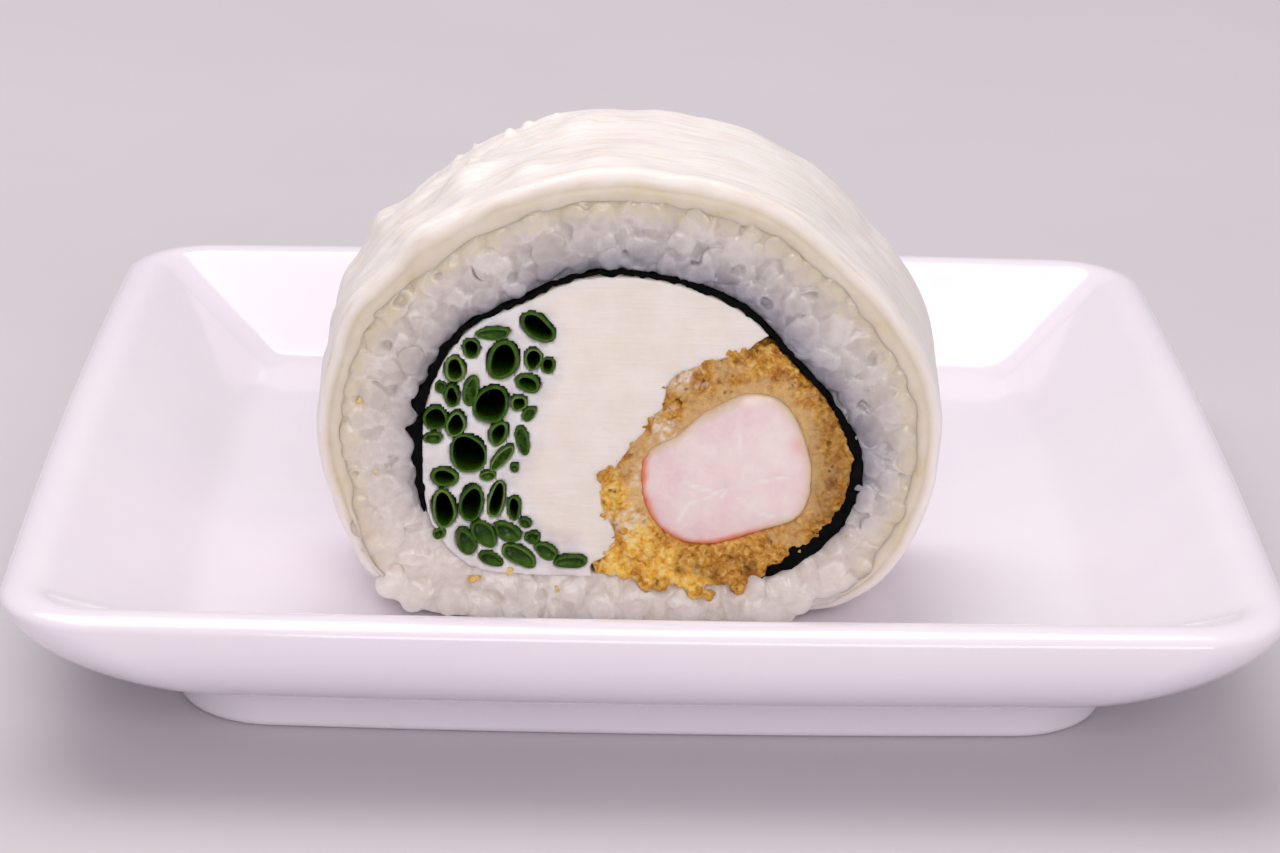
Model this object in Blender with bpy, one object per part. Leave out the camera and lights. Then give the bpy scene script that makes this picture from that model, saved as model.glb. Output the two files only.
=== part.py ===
"""A cut uramaki roll on its small rounded-square porcelain dish.

The roll is a thick slice whose layers run straight through it: an outer
cream wrap, a ring of rice, a sheet of nori, and inside that a bundle of
chives, a block of cream cheese and a prawn in a fried crumb crust.
Everything is in metres, +Z up, with the origin under the dish's foot.
"""

import math
import random

import bmesh
import bpy
import numpy as np
from mathutils import Matrix, Vector, noise

MM = 0.001
GAP = 0.3 * MM

# Dish
DISH_WIDTH = 101.0 * MM
DISH_DEPTH = 98.0 * MM
RIM_HEIGHT = 14.3 * MM
FLOOR_HEIGHT = 6.8 * MM
SIDE_BULGE = 0.6 * MM
CORNER_RADIUS = 8.2 * MM
BELLY_RADIUS = 13.0 * MM
FLOOR_RADIUS = 4.0 * MM
LIP_DROP = 1.0 * MM
LIP_WIDTH = 2.0 * MM
LIP_INNER = 4.2 * MM
LIP_INNER_DROP = 0.8 * MM
WALL_FOOT = 12.6 * MM
FLOOR_INSET = 15.4 * MM
FOOT_INSET = 12.3 * MM
FOOT_HEIGHT = 4.4 * MM
FOOT_ROUNDING = 0.7 * MM
FOOT_RING = 3.4 * MM
FOOT_RECESS = 1.1 * MM
CORNER_STEPS = 5
SIDE_STEPS = 3
BELLY_STEPS = 5

# Roll
FACE_Y = -28.8 * MM
ROLL_LENGTH = 18.2 * MM
BACK_Y = FACE_Y + ROLL_LENGTH
BACK_GROWTH = 0.015
BACK_LEAN = 0.5 * MM
ROLL_CENTRE = (-1.2 * MM, 17.0 * MM)
ROUND_STEPS = 72
NORI_THICKNESS = 0.7 * MM
NORI_INSET = 0.25 * MM
WRAP_SIDE = 1.9 * MM
WRAP_TOP = 2.4 * MM
WRAP_END = 1.0 * MM
WRAP_RELIEF = 0.35 * MM
WRAP_RELIEF_SIZE = 4.0 * MM
LUMP_HEIGHT = 1.4 * MM
LUMP_DIRECTION = 135.0
LUMP_SPREAD = 32.0
# How far along the roll each ring of the wrap stands, and how far its edge is rounded in there
WRAP_STATIONS = (
    (0.0, 0.55 * MM), (0.035, 0.1 * MM), (0.25, 0.0), (0.5, 0.0), (0.75, 0.0), (0.965, 0.1 * MM), (1.0, 0.55 * MM),
)

# Outline of the whole roll, seen from the front, millimetres from the dish's middle and floor
ROLL_KEYS = (
    (-26.3, 16.5), (-25.2, 10.0), (-22.4, 3.6), (-16.5, 0.8), (-2.0, 0.45), (11.0, 0.5),
    (17.6, 1.9), (21.9, 7.5), (23.6, 15.0), (22.3, 22.0), (17.4, 28.9), (9.9, 35.0),
    (-0.5, 37.5), (-9.5, 36.4), (-17.8, 31.9), (-24.2, 25.0),
)
# Middle line of the nori, carried on under the fillings where the sheet is open
NORI_KEYS = (
    (-18.1, 13.5), (-17.5, 19.4), (-14.6, 24.4), (-10.0, 27.0), (-5.2, 29.1), (1.0, 29.0),
    (7.3, 26.6), (11.3, 22.6), (15.2, 18.0), (16.8, 13.0), (15.0, 8.4), (9.8, 4.0),
    (4.6, 2.6), (-2.0, 3.3), (-8.0, 3.5), (-14.0, 4.2), (-17.3, 8.0),
)
# Directions from the roll's middle, degrees from +X, between which each sheet is open below
NORI_OPEN = (206.0, 309.0)
WRAP_OPEN = (212.0, 310.0)
CRUST_KEYS = (
    (9.2, 23.6), (12.6, 21.4), (15.4, 17.6), (16.6, 12.6), (14.6, 8.2), (10.4, 4.4),
    (4.6, 2.7), (-0.6, 3.5), (-4.0, 4.6), (-2.6, 7.0), (-3.9, 10.6), (-1.8, 14.7),
    (0.6, 17.6), (1.7, 20.9), (5.4, 22.6),
)
PRAWN_KEYS = (
    (-0.3, 14.1), (2.4, 16.1), (4.8, 18.2), (8.3, 19.7), (11.4, 18.4), (13.3, 13.6),
    (12.7, 9.3), (9.4, 7.7), (5.3, 6.5), (2.1, 7.1), (-0.1, 9.8),
)
CHIVE_ZONE_KEYS = (
    (-11.6, 30.0), (-10.6, 26.6), (-7.5, 25.9), (-7.1, 21.0), (-8.5, 17.5), (-9.0, 14.4),
    (-9.7, 11.2), (-8.6, 8.2), (-5.2, 6.6), (-4.5, 4.6), (-4.6, 0.0), (-24.0, 0.0), (-24.0, 30.0),
)
# The stoutest chives, each as across, up and diameter, then the sizes that fill in between them
STOUT_CHIVES = (
    (-11.5, 21.8, 2.9), (-12.4, 18.2, 2.9), (-14.1, 14.0, 3.1), (-9.0, 24.2, 2.4), (-14.0, 10.0, 2.6),
    (-16.1, 9.6, 2.1), (-11.7, 10.2, 2.3), (-13.3, 6.9, 2.3), (-10.3, 6.1, 2.3), (-7.4, 5.5, 1.8),
)
FILL_CHIVES = (2.0, 1.8, 1.6, 1.4, 1.2, 1.05)
CHIVE_COUNT = 38
CHIVE_PROUD = (0.25 * MM, 0.85 * MM)
CHIVE_HOLLOW = 1.4 * MM
CHIVE_STOUT = 1.5 * MM
CHIVE_WALL = 0.27
CHIVE_SPACING = 0.08 * MM
CHIVE_SEED = 7

GRAIN_WIDTH = 2.4 * MM
GRAIN_LENGTHS = (2.8 * MM, 4.6 * MM)
GRAIN_SPACING = 2.3 * MM
GRAIN_MARGIN = 1.25 * MM
GRAIN_TILT = 0.5
GRAIN_BURIED = 0.45 * MM
GRAIN_SIDES = 6
GRAIN_RINGS = 4
GRAIN_SEED = 21

# How far along the roll each ring of the prawn stands, and its size there against the full outline
PRAWN_DOME = ((0.0, 0.6), (0.012, 0.86), (0.04, 1.0), (0.96, 1.0), (0.988, 0.86), (1.0, 0.6))

CRUMB_SIZES = (0.9 * MM, 1.9 * MM)
CRUMB_SPACING = 2.1 * MM
CRUMB_BURIED = 0.25 * MM
CRUMB_SEED = 5
TRIES = 6000


def clear_scene():
    """Remove whatever the new file holds."""
    for item in list(bpy.data.objects):
        bpy.data.objects.remove(item, do_unlink=True)


def material(name, colour, roughness):
    """One plain surface for a sub-part."""
    finish = bpy.data.materials.new(name)
    finish.use_nodes = True
    shader = finish.node_tree.nodes["Principled BSDF"]
    shader.inputs["Base Color"].default_value = (*colour, 1.0)
    shader.inputs["Roughness"].default_value = roughness
    shader.inputs["Metallic"].default_value = 0.0
    return finish


def to_object(name, mesh_data, finish):
    """Turn a bmesh into a named, shaded object with outward faces."""
    bmesh.ops.recalc_face_normals(mesh_data, faces=mesh_data.faces)
    mesh = bpy.data.meshes.new(name)
    mesh_data.to_mesh(mesh)
    mesh_data.free()
    mesh.shade_smooth()
    mesh.set_sharp_from_angle(angle=math.radians(40.0))
    item = bpy.data.objects.new(name, mesh)
    item.data.materials.append(finish)
    bpy.context.scene.collection.objects.link(item)
    return item


def stack(rings, cyclic):
    """Join equal rings of points into one closed skin, capped unless it runs round to its start."""
    skin = bmesh.new()
    loops = []
    for ring in rings:
        corners = [skin.verts.new(point) for point in ring]
        pairs = zip(corners, corners[1:] + corners[:1])
        loops.append([skin.edges.new(pair) for pair in pairs])
    if cyclic:
        loops.append(loops[0])
    for low, high in zip(loops, loops[1:]):
        bmesh.ops.bridge_loops(skin, edges=low + high)
    if not cyclic:
        for end in (loops[0], loops[-1]):
            bmesh.ops.contextual_create(skin, geom=end)
    bmesh.ops.triangulate(skin, faces=[face for face in skin.faces if len(face.verts) > 4])
    return skin


def smooth_outline(keys, per_span):
    """Closed Catmull-Rom curve through key points given in millimetres."""
    points = [np.array(key) * MM for key in keys]
    count = len(points)
    curve = []
    for index in range(count):
        a, b, c, d = (points[(index + shift) % count] for shift in (-1, 0, 1, 2))
        for step in range(per_span):
            t = step / per_span
            curve.append(0.5 * (2 * b + (c - a) * t + (2 * a - 5 * b + 4 * c - d) * t ** 2
                                + (3 * b - a - 3 * c + d) * t ** 3))
    return np.array(curve)


def round_outline(keys):
    """The same curve read at equal angles round the roll's middle."""
    curve = smooth_outline(keys, 16) - np.array(ROLL_CENTRE)
    angles = np.arctan2(curve[:, 1], curve[:, 0]) % math.tau
    order = np.argsort(angles)
    wanted = np.arange(ROUND_STEPS) * math.tau / ROUND_STEPS
    radii = np.interp(wanted, angles[order], np.hypot(*curve[order].T), period=math.tau)
    turned = np.column_stack([np.cos(wanted), np.sin(wanted)])
    return np.array(ROLL_CENTRE) + turned * radii[:, None]


def grown(outline, distances):
    """Move an outline out along its own normals, or in where a distance is negative."""
    ahead = np.roll(outline, -1, 0) - np.roll(outline, 1, 0)
    normals = np.column_stack([ahead[:, 1], -ahead[:, 0]])
    normals /= np.linalg.norm(normals, axis=1)[:, None]
    area = np.sum(outline[:, 0] * np.roll(outline[:, 1], -1) - np.roll(outline[:, 0], -1) * outline[:, 1])
    return outline + normals * math.copysign(1.0, area) * np.reshape(distances, (-1, 1))


def covered(opening):
    """Which of the equal angles a sheet covers, given where it is open, in degrees."""
    angles = np.arange(ROUND_STEPS) * 360.0 / ROUND_STEPS
    return (angles <= opening[0]) | (angles >= opening[1])


def sheet_order(opening):
    """Indices along a sheet from its lower left end, over the top, to its lower right end."""
    held = covered(opening)
    first = next(i for i in range(ROUND_STEPS) if held[i] and not held[(i + 1) % ROUND_STEPS])
    return [(first - step) % ROUND_STEPS for step in range(int(held.sum()))]


def distance_to(point, outline):
    """Shortest way from a point to an outline."""
    start = outline
    along = np.roll(outline, -1, 0) - start
    share = np.sum((point - start) * along, 1) / np.maximum(np.sum(along * along, 1), 1e-18)
    nearest = start + along * np.clip(share, 0.0, 1.0)[:, None]
    return float(np.min(np.hypot(*(point - nearest).T)))


def inside(point, outline):
    """Whether a point lies within a closed outline."""
    x, z = point
    after = np.roll(outline, -1, 0)
    spans = (outline[:, 1] > z) != (after[:, 1] > z)
    rise = np.where(spans, after[:, 1] - outline[:, 1], 1.0)
    crossing = outline[:, 0] + (z - outline[:, 1]) * (after[:, 0] - outline[:, 0]) / rise
    return bool(np.sum(spans & (x < crossing)) % 2)


def at_floor(outline, y):
    """Stand an outline upright on the dish's floor at one distance from the front."""
    return [Vector((x, y, z + FLOOR_HEIGHT)) for x, z in outline]


def widened(outline, share):
    """The roll's outline some way along it, as it grows and leans a little towards the back."""
    return outline * (1 + BACK_GROWTH * share) + np.array((BACK_LEAN * share, 0.0))


def prism(name, outline, finish, front=FACE_Y, back=BACK_Y):
    """A straight bar with the given outline."""
    return to_object(name, stack([at_floor(outline, front), at_floor(outline, back)], False), finish)


def apply_boolean(item, operation, solver, operand=None, group=None):
    """Combine an object with one other, or with a collection, and remove those afterwards."""
    change = item.modifiers.new("join", "BOOLEAN")
    change.operation = operation
    change.solver = solver
    if group is None:
        change.object = operand
        spent = [operand]
    else:
        change.operand_type = "COLLECTION"
        change.collection = group
        spent = list(group.objects)
    graph = bpy.context.evaluated_depsgraph_get()
    result = bpy.data.meshes.new_from_object(item.evaluated_get(graph), depsgraph=graph)
    item.modifiers.clear()
    item.data = result
    for other in spent:
        bpy.data.objects.remove(other, do_unlink=True)
    if group is not None:
        bpy.data.collections.remove(group)
    return item


def keep_largest(item):
    """Drop any loose scrap that cutting left beside the main body."""
    shape = bmesh.new()
    shape.from_mesh(item.data)
    unseen = set(shape.verts)
    islands = []
    while unseen:
        island = set()
        front = [unseen.pop()]
        while front:
            corner = front.pop()
            island.add(corner)
            near = [edge.other_vert(corner) for edge in corner.link_edges]
            fresh = [other for other in near if other in unseen]
            unseen.difference_update(fresh)
            front.extend(fresh)
        islands.append(island)
    largest = max(islands, key=len)
    bmesh.ops.delete(shape, geom=[corner for corner in shape.verts if corner not in largest], context="VERTS")
    shape.to_mesh(item.data)
    shape.free()
    return item


def fuse(item, pieces):
    """Union a group of small pieces onto a core."""
    group = bpy.data.collections.new(item.name + "_pieces")
    bpy.context.scene.collection.children.link(group)
    for piece in pieces:
        bpy.context.scene.collection.objects.unlink(piece)
        group.objects.link(piece)
    return apply_boolean(item, "UNION", "MANIFOLD", group=group)


def dish_ring(inset, height, radius):
    """One level of the dish: a rounded square whose sides bow out slightly."""
    half_x = DISH_WIDTH / 2 - SIDE_BULGE - inset
    half_y = DISH_DEPTH / 2 - SIDE_BULGE - inset
    points = []
    for quarter in range(4):
        turn = quarter * math.pi / 2
        across = half_x if quarter % 2 == 0 else half_y
        beside = half_y if quarter % 2 == 0 else half_x
        flat = beside - radius
        side = [(across + SIDE_BULGE * (1 - (step / SIDE_STEPS) ** 2), flat * step / SIDE_STEPS)
                for step in range(-SIDE_STEPS + 1, SIDE_STEPS)]
        corner = [(across - radius + radius * math.cos(angle), flat + radius * math.sin(angle))
                  for angle in np.linspace(0.0, math.pi / 2, CORNER_STEPS + 1)]
        for x, y in side + corner:
            points.append(Vector((x * math.cos(turn) - y * math.sin(turn),
                                  x * math.sin(turn) + y * math.cos(turn), height)))
    return points


def dish_levels():
    """The dish's profile from under its foot, out round the belly, over the lip, to its floor."""
    levels = [
        (FOOT_INSET + FOOT_RING + FOOT_RECESS, FOOT_RECESS, FLOOR_RADIUS),
        (FOOT_INSET + FOOT_RING, 0.0, FLOOR_RADIUS),
        (FOOT_INSET + FOOT_ROUNDING, 0.0, CORNER_RADIUS - FOOT_ROUNDING),
        (FOOT_INSET, FOOT_ROUNDING, CORNER_RADIUS),
    ]
    widest = RIM_HEIGHT - LIP_DROP
    for step in range(BELLY_STEPS + 1):
        angle = math.pi / 2 * (1 - step / BELLY_STEPS)
        bulge = math.sin(2 * angle)
        levels.append((FOOT_INSET * (1 - math.cos(angle)), widest - (widest - FOOT_HEIGHT) * math.sin(angle),
                       CORNER_RADIUS + (BELLY_RADIUS - CORNER_RADIUS) * bulge))
    for angle in (math.radians(35.0), math.radians(65.0), math.pi / 2):
        levels.append((LIP_WIDTH * (1 - math.cos(angle)), widest + LIP_DROP * math.sin(angle),
                       CORNER_RADIUS - LIP_WIDTH * (1 - math.cos(angle))))
    inner = CORNER_RADIUS - LIP_INNER
    levels += [
        ((LIP_WIDTH + LIP_INNER) / 2, RIM_HEIGHT - LIP_INNER_DROP / 5, CORNER_RADIUS - LIP_WIDTH - MM),
        (LIP_INNER, RIM_HEIGHT - LIP_INNER_DROP, inner),
        (WALL_FOOT, FLOOR_HEIGHT + 0.85 * MM, inner),
        ((WALL_FOOT + FLOOR_INSET) / 2, FLOOR_HEIGHT + 0.2 * MM, inner),
        (FLOOR_INSET, FLOOR_HEIGHT, inner),
    ]
    return levels


def build_dish():
    """The dish as one turned-over skin, closed by its floor and the recess under its foot."""
    finish = material("glazed porcelain", (0.88, 0.85, 0.88), 0.12)
    return to_object("plate", stack([dish_ring(*level) for level in dish_levels()], False), finish)


def wrap_depths():
    """Thickness of the cream wrap at every angle, thinner towards its two lower ends."""
    depths = np.zeros(ROUND_STEPS)
    order = sheet_order(WRAP_OPEN)
    for place, index in enumerate(order):
        share = place / (len(order) - 1)
        end = min(1.0, min(share, 1 - share) * 12)
        depths[index] = WRAP_END + (WRAP_SIDE + (WRAP_TOP - WRAP_SIDE) * math.sin(math.pi * share) - WRAP_END) * end
    return depths


def wrap_relief(outline, y):
    """How far the wrap's surface stands off its outline: shallow dents, and lumps high on the left."""
    relief = []
    for x, z in outline:
        direction = math.degrees(math.atan2(z - ROLL_CENTRE[1], x - ROLL_CENTRE[0]))
        near = math.exp(-((direction - LUMP_DIRECTION) / LUMP_SPREAD) ** 2)
        wave = noise.noise(Vector((x, y, z)) / WRAP_RELIEF_SIZE)
        relief.append(WRAP_RELIEF * min(0.0, wave) + LUMP_HEIGHT * near * max(0.0, wave))
    return np.array(relief)


def build_wrap(outline):
    """The outer cream sheet, wrinkled outside and open under the roll."""
    order = sheet_order(WRAP_OPEN)
    depths = wrap_depths()
    rings = []
    for share, draw_in in WRAP_STATIONS:
        y = FACE_Y + ROLL_LENGTH * share
        inner = widened(grown(outline, -depths), share)
        outer = widened(grown(outline, wrap_relief(outline, y) - draw_in), share)
        band = [outer[index] for index in order] + [inner[index] for index in reversed(order)]
        rings.append(at_floor(band, y))
    return to_object("wrap", stack(rings, False), material("cream wrap", (0.86, 0.82, 0.72), 0.5))


def build_nori(outline):
    """The dark sheet of seaweed round the fillings."""
    order = sheet_order(NORI_OPEN)
    outer = grown(outline, np.full(ROUND_STEPS, NORI_THICKNESS / 2))
    inner = grown(outline, np.full(ROUND_STEPS, -NORI_THICKNESS / 2))
    band = [outer[index] for index in order] + [inner[index] for index in reversed(order)]
    return prism("nori", np.array(band), material("nori", (0.01, 0.014, 0.012), 0.45),
                 FACE_Y + NORI_INSET, BACK_Y - NORI_INSET)


def sheath_room(outline, side):
    """Edge of what lies against the nori, closer in where the sheet is open."""
    held = covered(NORI_OPEN)
    near = held & np.roll(held, 1) & np.roll(held, -1)
    wide = NORI_THICKNESS / 2 + GAP
    room = np.where(held | near, wide, GAP / 2)
    ends = [index for index in range(ROUND_STEPS) if held[index] != held[(index + 1) % ROUND_STEPS]]
    for index in ends:
        room[index] = wide
        room[(index + 1) % ROUND_STEPS] = wide
    return grown(outline, side * room)


def grain(place, y, length, turn, tilt, finish):
    """One cooked grain as a plain faceted bead."""
    bead = bmesh.new()
    bmesh.ops.create_uvsphere(bead, u_segments=GRAIN_SIDES, v_segments=GRAIN_RINGS, radius=0.5)
    size = Matrix.Diagonal((GRAIN_WIDTH, GRAIN_WIDTH, length, 1.0))
    spin = Matrix.Rotation(turn, 4, "Y") @ Matrix.Rotation(tilt, 4, "X")
    where = Matrix.Translation((place[0], y, place[1] + FLOOR_HEIGHT))
    bmesh.ops.transform(bead, matrix=where @ spin @ size, verts=bead.verts)
    return to_object("grain", bead, finish)


def room_round(point, within, holes):
    """Clear way from a point to the nearest border, or less than nothing outside them."""
    if not all(inside(point, border) for border in within) or any(inside(point, hole) for hole in holes):
        return -1.0
    return min(distance_to(point, border) for border in (*within, *holes))


def scatter(rng, within, holes, spacing, margin):
    """Seeded places at least a spacing apart, each with the clear room round it."""
    low = within[0].min(0)
    high = within[0].max(0)
    places = []
    for _ in range(TRIES):
        point = np.array([rng.uniform(low[0], high[0]), rng.uniform(low[1], high[1])])
        room = room_round(point, within, holes)
        if room > margin and all(math.dist(point, other) >= spacing for other, _ in places):
            places.append((point, room))
    return places


def build_rice(outer, hole):
    """A ring of rice with grains standing proud of both cut faces."""
    finish = material("cooked rice", (0.72, 0.71, 0.66), 0.35)
    front = FACE_Y + GRAIN_BURIED
    back = BACK_Y - GRAIN_BURIED
    wide = widened(outer, 1.0)
    rings = [at_floor(outer, front), at_floor(wide, back), at_floor(hole, back), at_floor(hole, front)]
    core = to_object("rice", stack(rings, True), finish)
    rng = random.Random(GRAIN_SEED)
    grains = []
    for y in (front, back):
        for place, room in scatter(rng, (outer,), (hole,), GRAIN_SPACING, GRAIN_MARGIN):
            length = min(rng.uniform(*GRAIN_LENGTHS), 2 * room)
            turn = rng.uniform(0, math.pi)
            grains.append(grain(place, y, length, turn, rng.uniform(-GRAIN_TILT, GRAIN_TILT), finish))
    return fuse(core, grains)


def chive_places(zone):
    """Where each chive runs, as across, up and diameter: stout ones first, then ever finer ones."""
    rng = random.Random(CHIVE_SEED)
    placed = [(x * MM, z * MM, width * MM) for x, z, width in STOUT_CHIVES]
    low = zone.min(0)
    high = zone.max(0)
    for width in (size * MM for size in FILL_CHIVES):
        for _ in range(TRIES // len(FILL_CHIVES)):
            if len(placed) >= CHIVE_COUNT:
                break
            point = np.array([rng.uniform(low[0], high[0]), rng.uniform(low[1], high[1])])
            if not inside(point, zone) or distance_to(point, zone) < width / 2 + CHIVE_SPACING:
                continue
            if all(math.dist(point, (x, z)) >= (width + other) / 2 + CHIVE_SPACING for x, z, other in placed):
                placed.append((*point, width))
    return placed


def chive(x, z, width, proud, finish):
    """One chive running through the roll, open at both ends if it is stout enough to show it."""
    tube = bmesh.new()
    stout = width > CHIVE_STOUT
    bmesh.ops.create_cone(tube, cap_ends=True, segments=8 if stout else 6, radius1=width / 2,
                          radius2=width / 2, depth=ROLL_LENGTH + 2 * proud)
    if stout:
        for side in (1, -1):
            cap = [face for face in tube.faces if face.normal.z * side > 0.9]
            bmesh.ops.inset_individual(tube, faces=cap, thickness=width * CHIVE_WALL)
            sunk = bmesh.ops.extrude_discrete_faces(tube, faces=cap)["faces"]
            corners = [corner for face in sunk for corner in face.verts]
            bmesh.ops.translate(tube, verts=corners, vec=(0, 0, -side * CHIVE_HOLLOW))
    turn = Matrix.Rotation(math.pi / 2, 4, "X")
    where = Matrix.Translation((x, (FACE_Y + BACK_Y) / 2, z + FLOOR_HEIGHT))
    bmesh.ops.transform(tube, matrix=where @ turn, verts=tube.verts)
    return to_object("chive", tube, finish)


def build_chives(fillings, zone):
    """The bundle of chives held in a little cheese, one body."""
    finish = material("chives", (0.03, 0.10, 0.02), 0.4)
    core = prism("chives", fillings, finish)
    apply_boolean(core, "INTERSECT", "EXACT", prism("zone", zone, finish, FACE_Y - MM, BACK_Y + MM))
    rng = random.Random(CHIVE_SEED)
    tubes = [chive(*place, rng.uniform(*CHIVE_PROUD), finish) for place in chive_places(outline_of(core))]
    return fuse(core, tubes)


def outline_of(item):
    """Front outline of a straight bar, read back in order round its edge."""
    shape = bmesh.new()
    shape.from_mesh(item.data)
    front = {corner for corner in shape.verts if abs(corner.co.y - FACE_Y) < GAP / 10}
    rim = [edge for edge in shape.edges if set(edge.verts) <= front
           and any(abs(face.normal.y) < 0.5 for face in edge.link_faces)]
    corner = rim[0].verts[0]
    used = set()
    points = []
    while True:
        ahead = [edge for edge in corner.link_edges if edge in rim and edge not in used]
        if not ahead:
            break
        used.add(ahead[0])
        points.append((corner.co.x, corner.co.z - FLOOR_HEIGHT))
        corner = ahead[0].other_vert(corner)
    shape.free()
    return np.array(points)


def build_cheese(fillings, zone, crust):
    """The block of cream cheese between the chives and the crust."""
    finish = material("cream cheese", (0.88, 0.85, 0.72), 0.5)
    block = prism("cream_cheese", fillings, finish)
    for other in (zone, crust):
        cutter = prism("room", grown(other, np.full(len(other), GAP)), finish, FACE_Y - MM, BACK_Y + MM)
        apply_boolean(block, "DIFFERENCE", "EXACT", cutter)
    return keep_largest(block)


def crumb(rng, place, y, largest, finish):
    """One fried crumb as a rough facetted lump."""
    lump = bmesh.new()
    bmesh.ops.create_icosphere(lump, subdivisions=1, radius=0.5)
    size = Matrix.Diagonal([min(rng.uniform(*CRUMB_SIZES), largest) for _ in range(3)] + [1.0])
    spin = Matrix.Rotation(rng.uniform(0, math.tau), 4, "Y") @ Matrix.Rotation(rng.uniform(0, math.tau), 4, "X")
    where = Matrix.Translation((place[0], y, place[1] + FLOOR_HEIGHT))
    bmesh.ops.transform(lump, matrix=where @ spin @ size, verts=lump.verts)
    return to_object("crumb", lump, finish)


def build_crust(fillings, crust, prawn):
    """The fried crumb crust round the prawn, craggy on both cut faces."""
    finish = material("fried crumb", (0.58, 0.33, 0.10), 0.7)
    body = prism("crust", crust, finish, FACE_Y + CRUMB_BURIED, BACK_Y - CRUMB_BURIED)
    apply_boolean(body, "INTERSECT", "EXACT", prism("limit", fillings, finish, FACE_Y - MM, BACK_Y + MM))
    room = grown(prawn, np.full(len(prawn), GAP))
    apply_boolean(body, "DIFFERENCE", "EXACT", prism("room", room, finish, FACE_Y - MM, BACK_Y + MM))
    rng = random.Random(CRUMB_SEED)
    crumbs = []
    for y in (FACE_Y + CRUMB_BURIED, BACK_Y - CRUMB_BURIED):
        for place, clear in scatter(rng, (crust, fillings), (room,), CRUMB_SPACING, CRUMB_SIZES[0] / 2):
            crumbs.append(crumb(rng, place, y, 2 * clear, finish))
    return fuse(body, crumbs)


def build_prawn(prawn):
    """The prawn's cut flesh, slightly domed at both ends."""
    middle = prawn.mean(0)
    rings = []
    for share, size in PRAWN_DOME:
        ring = middle + (prawn - middle) * size
        rings.append(at_floor(ring, FACE_Y + ROLL_LENGTH * share))
    return to_object("prawn", stack(rings, False), material("prawn", (0.85, 0.62, 0.60), 0.35))


def main():
    """Build every sub-part where it lies."""
    clear_scene()
    outline = round_outline(ROLL_KEYS)
    nori = round_outline(NORI_KEYS)
    depths = wrap_depths()
    rice_edge = grown(outline, -np.where(depths > 0, depths + GAP, 0.0))
    fillings = sheath_room(nori, -1)
    zone = np.array(CHIVE_ZONE_KEYS) * MM
    crust = smooth_outline(CRUST_KEYS, 3)
    prawn = smooth_outline(PRAWN_KEYS, 3)
    build_dish()
    build_wrap(outline)
    build_rice(rice_edge, sheath_room(nori, 1))
    build_nori(nori)
    build_cheese(fillings, zone, crust)
    build_chives(fillings, zone)
    build_crust(fillings, crust, prawn)
    build_prawn(prawn)


main()
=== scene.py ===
"""Looks for a cut uramaki roll on its small rounded-square porcelain dish.

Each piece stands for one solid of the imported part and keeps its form: the dish,
the cream wrap, the rice, the nori, the cream cheese, the chives, the fried crust
and the prawn. Lengths are in metres, +Z is up, and +Y runs along the roll away
from the viewer. Outlines are given in millimetres from the dish's middle and floor.
"""

import logging
import math
import random
from dataclasses import dataclass
from enum import Enum
from typing import Any, Callable, Iterable, Sequence

import bmesh
import bpy
import numpy as np
from mathutils import Matrix, Vector, kdtree, noise


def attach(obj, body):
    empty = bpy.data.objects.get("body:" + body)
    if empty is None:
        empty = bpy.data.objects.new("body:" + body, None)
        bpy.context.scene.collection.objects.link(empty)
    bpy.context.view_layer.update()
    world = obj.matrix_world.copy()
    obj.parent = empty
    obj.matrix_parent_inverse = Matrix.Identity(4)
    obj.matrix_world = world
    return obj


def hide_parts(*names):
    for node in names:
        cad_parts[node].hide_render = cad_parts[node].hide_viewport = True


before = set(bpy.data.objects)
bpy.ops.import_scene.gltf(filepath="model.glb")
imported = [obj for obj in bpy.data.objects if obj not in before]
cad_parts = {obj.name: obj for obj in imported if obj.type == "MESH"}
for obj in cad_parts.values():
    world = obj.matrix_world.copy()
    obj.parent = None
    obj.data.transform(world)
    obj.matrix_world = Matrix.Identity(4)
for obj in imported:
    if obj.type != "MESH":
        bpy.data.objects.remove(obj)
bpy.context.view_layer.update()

LOG = logging.getLogger("uramaki")
MM = 0.001
BODY = "root"
# Sockets of Blender's colour mix, which have no names of their own
MIX_A, MIX_B, MIX_OUT = 6, 7, 2

Points = np.ndarray
Keys = Sequence[tuple[float, float]]
Tree = bpy.types.NodeTree
Socket = bpy.types.NodeSocket
Piece = bpy.types.Object


class Side(Enum):
    """A cut face of the roll, and which way along Y it looks."""

    FRONT = -1
    BACK = 1


class Bore(Enum):
    """How the cut end of a chive looks."""

    HOLLOW = "hollow"
    GLASSY = "glassy"
    SOFT = "soft"


# Outlines


def smooth_outline(keys: Keys, per_span: int) -> Points:
    """Run a closed Catmull-Rom curve through key points.

    Args:
        keys: corners of the outline, in millimetres.
        per_span: points from one key to the next.

    Returns:
        The outline's points, in metres.
    """
    points = np.array(keys) * MM
    before, after, far = (np.roll(points, shift, 0) for shift in (1, -1, -2))
    spans = []
    for t in np.arange(per_span) / per_span:
        spans.append(0.5 * (2 * points + (after - before) * t
                            + (2 * before - 5 * points + 4 * after - far) * t ** 2
                            + (3 * points - before - 3 * after + far) * t ** 3))
    return np.stack(spans, 1).reshape(-1, 2)


def at_equal_angles(curve: Points, centre: Sequence[float], steps: int) -> Points:
    """Read a curve at equal angles round a centre.

    Args:
        curve: closed outline in metres.
        centre: what the angles are counted round.
        steps: how many points to read.

    Returns:
        The outline with that many points.
    """
    away = curve - np.array(centre)
    angles = np.arctan2(away[:, 1], away[:, 0]) % math.tau
    order = np.argsort(angles)
    wanted = np.arange(steps) * math.tau / steps
    radii = np.interp(wanted, angles[order], np.hypot(*away[order].T), period=math.tau)
    return np.array(centre) + np.column_stack([np.cos(wanted), np.sin(wanted)]) * radii[:, None]


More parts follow.
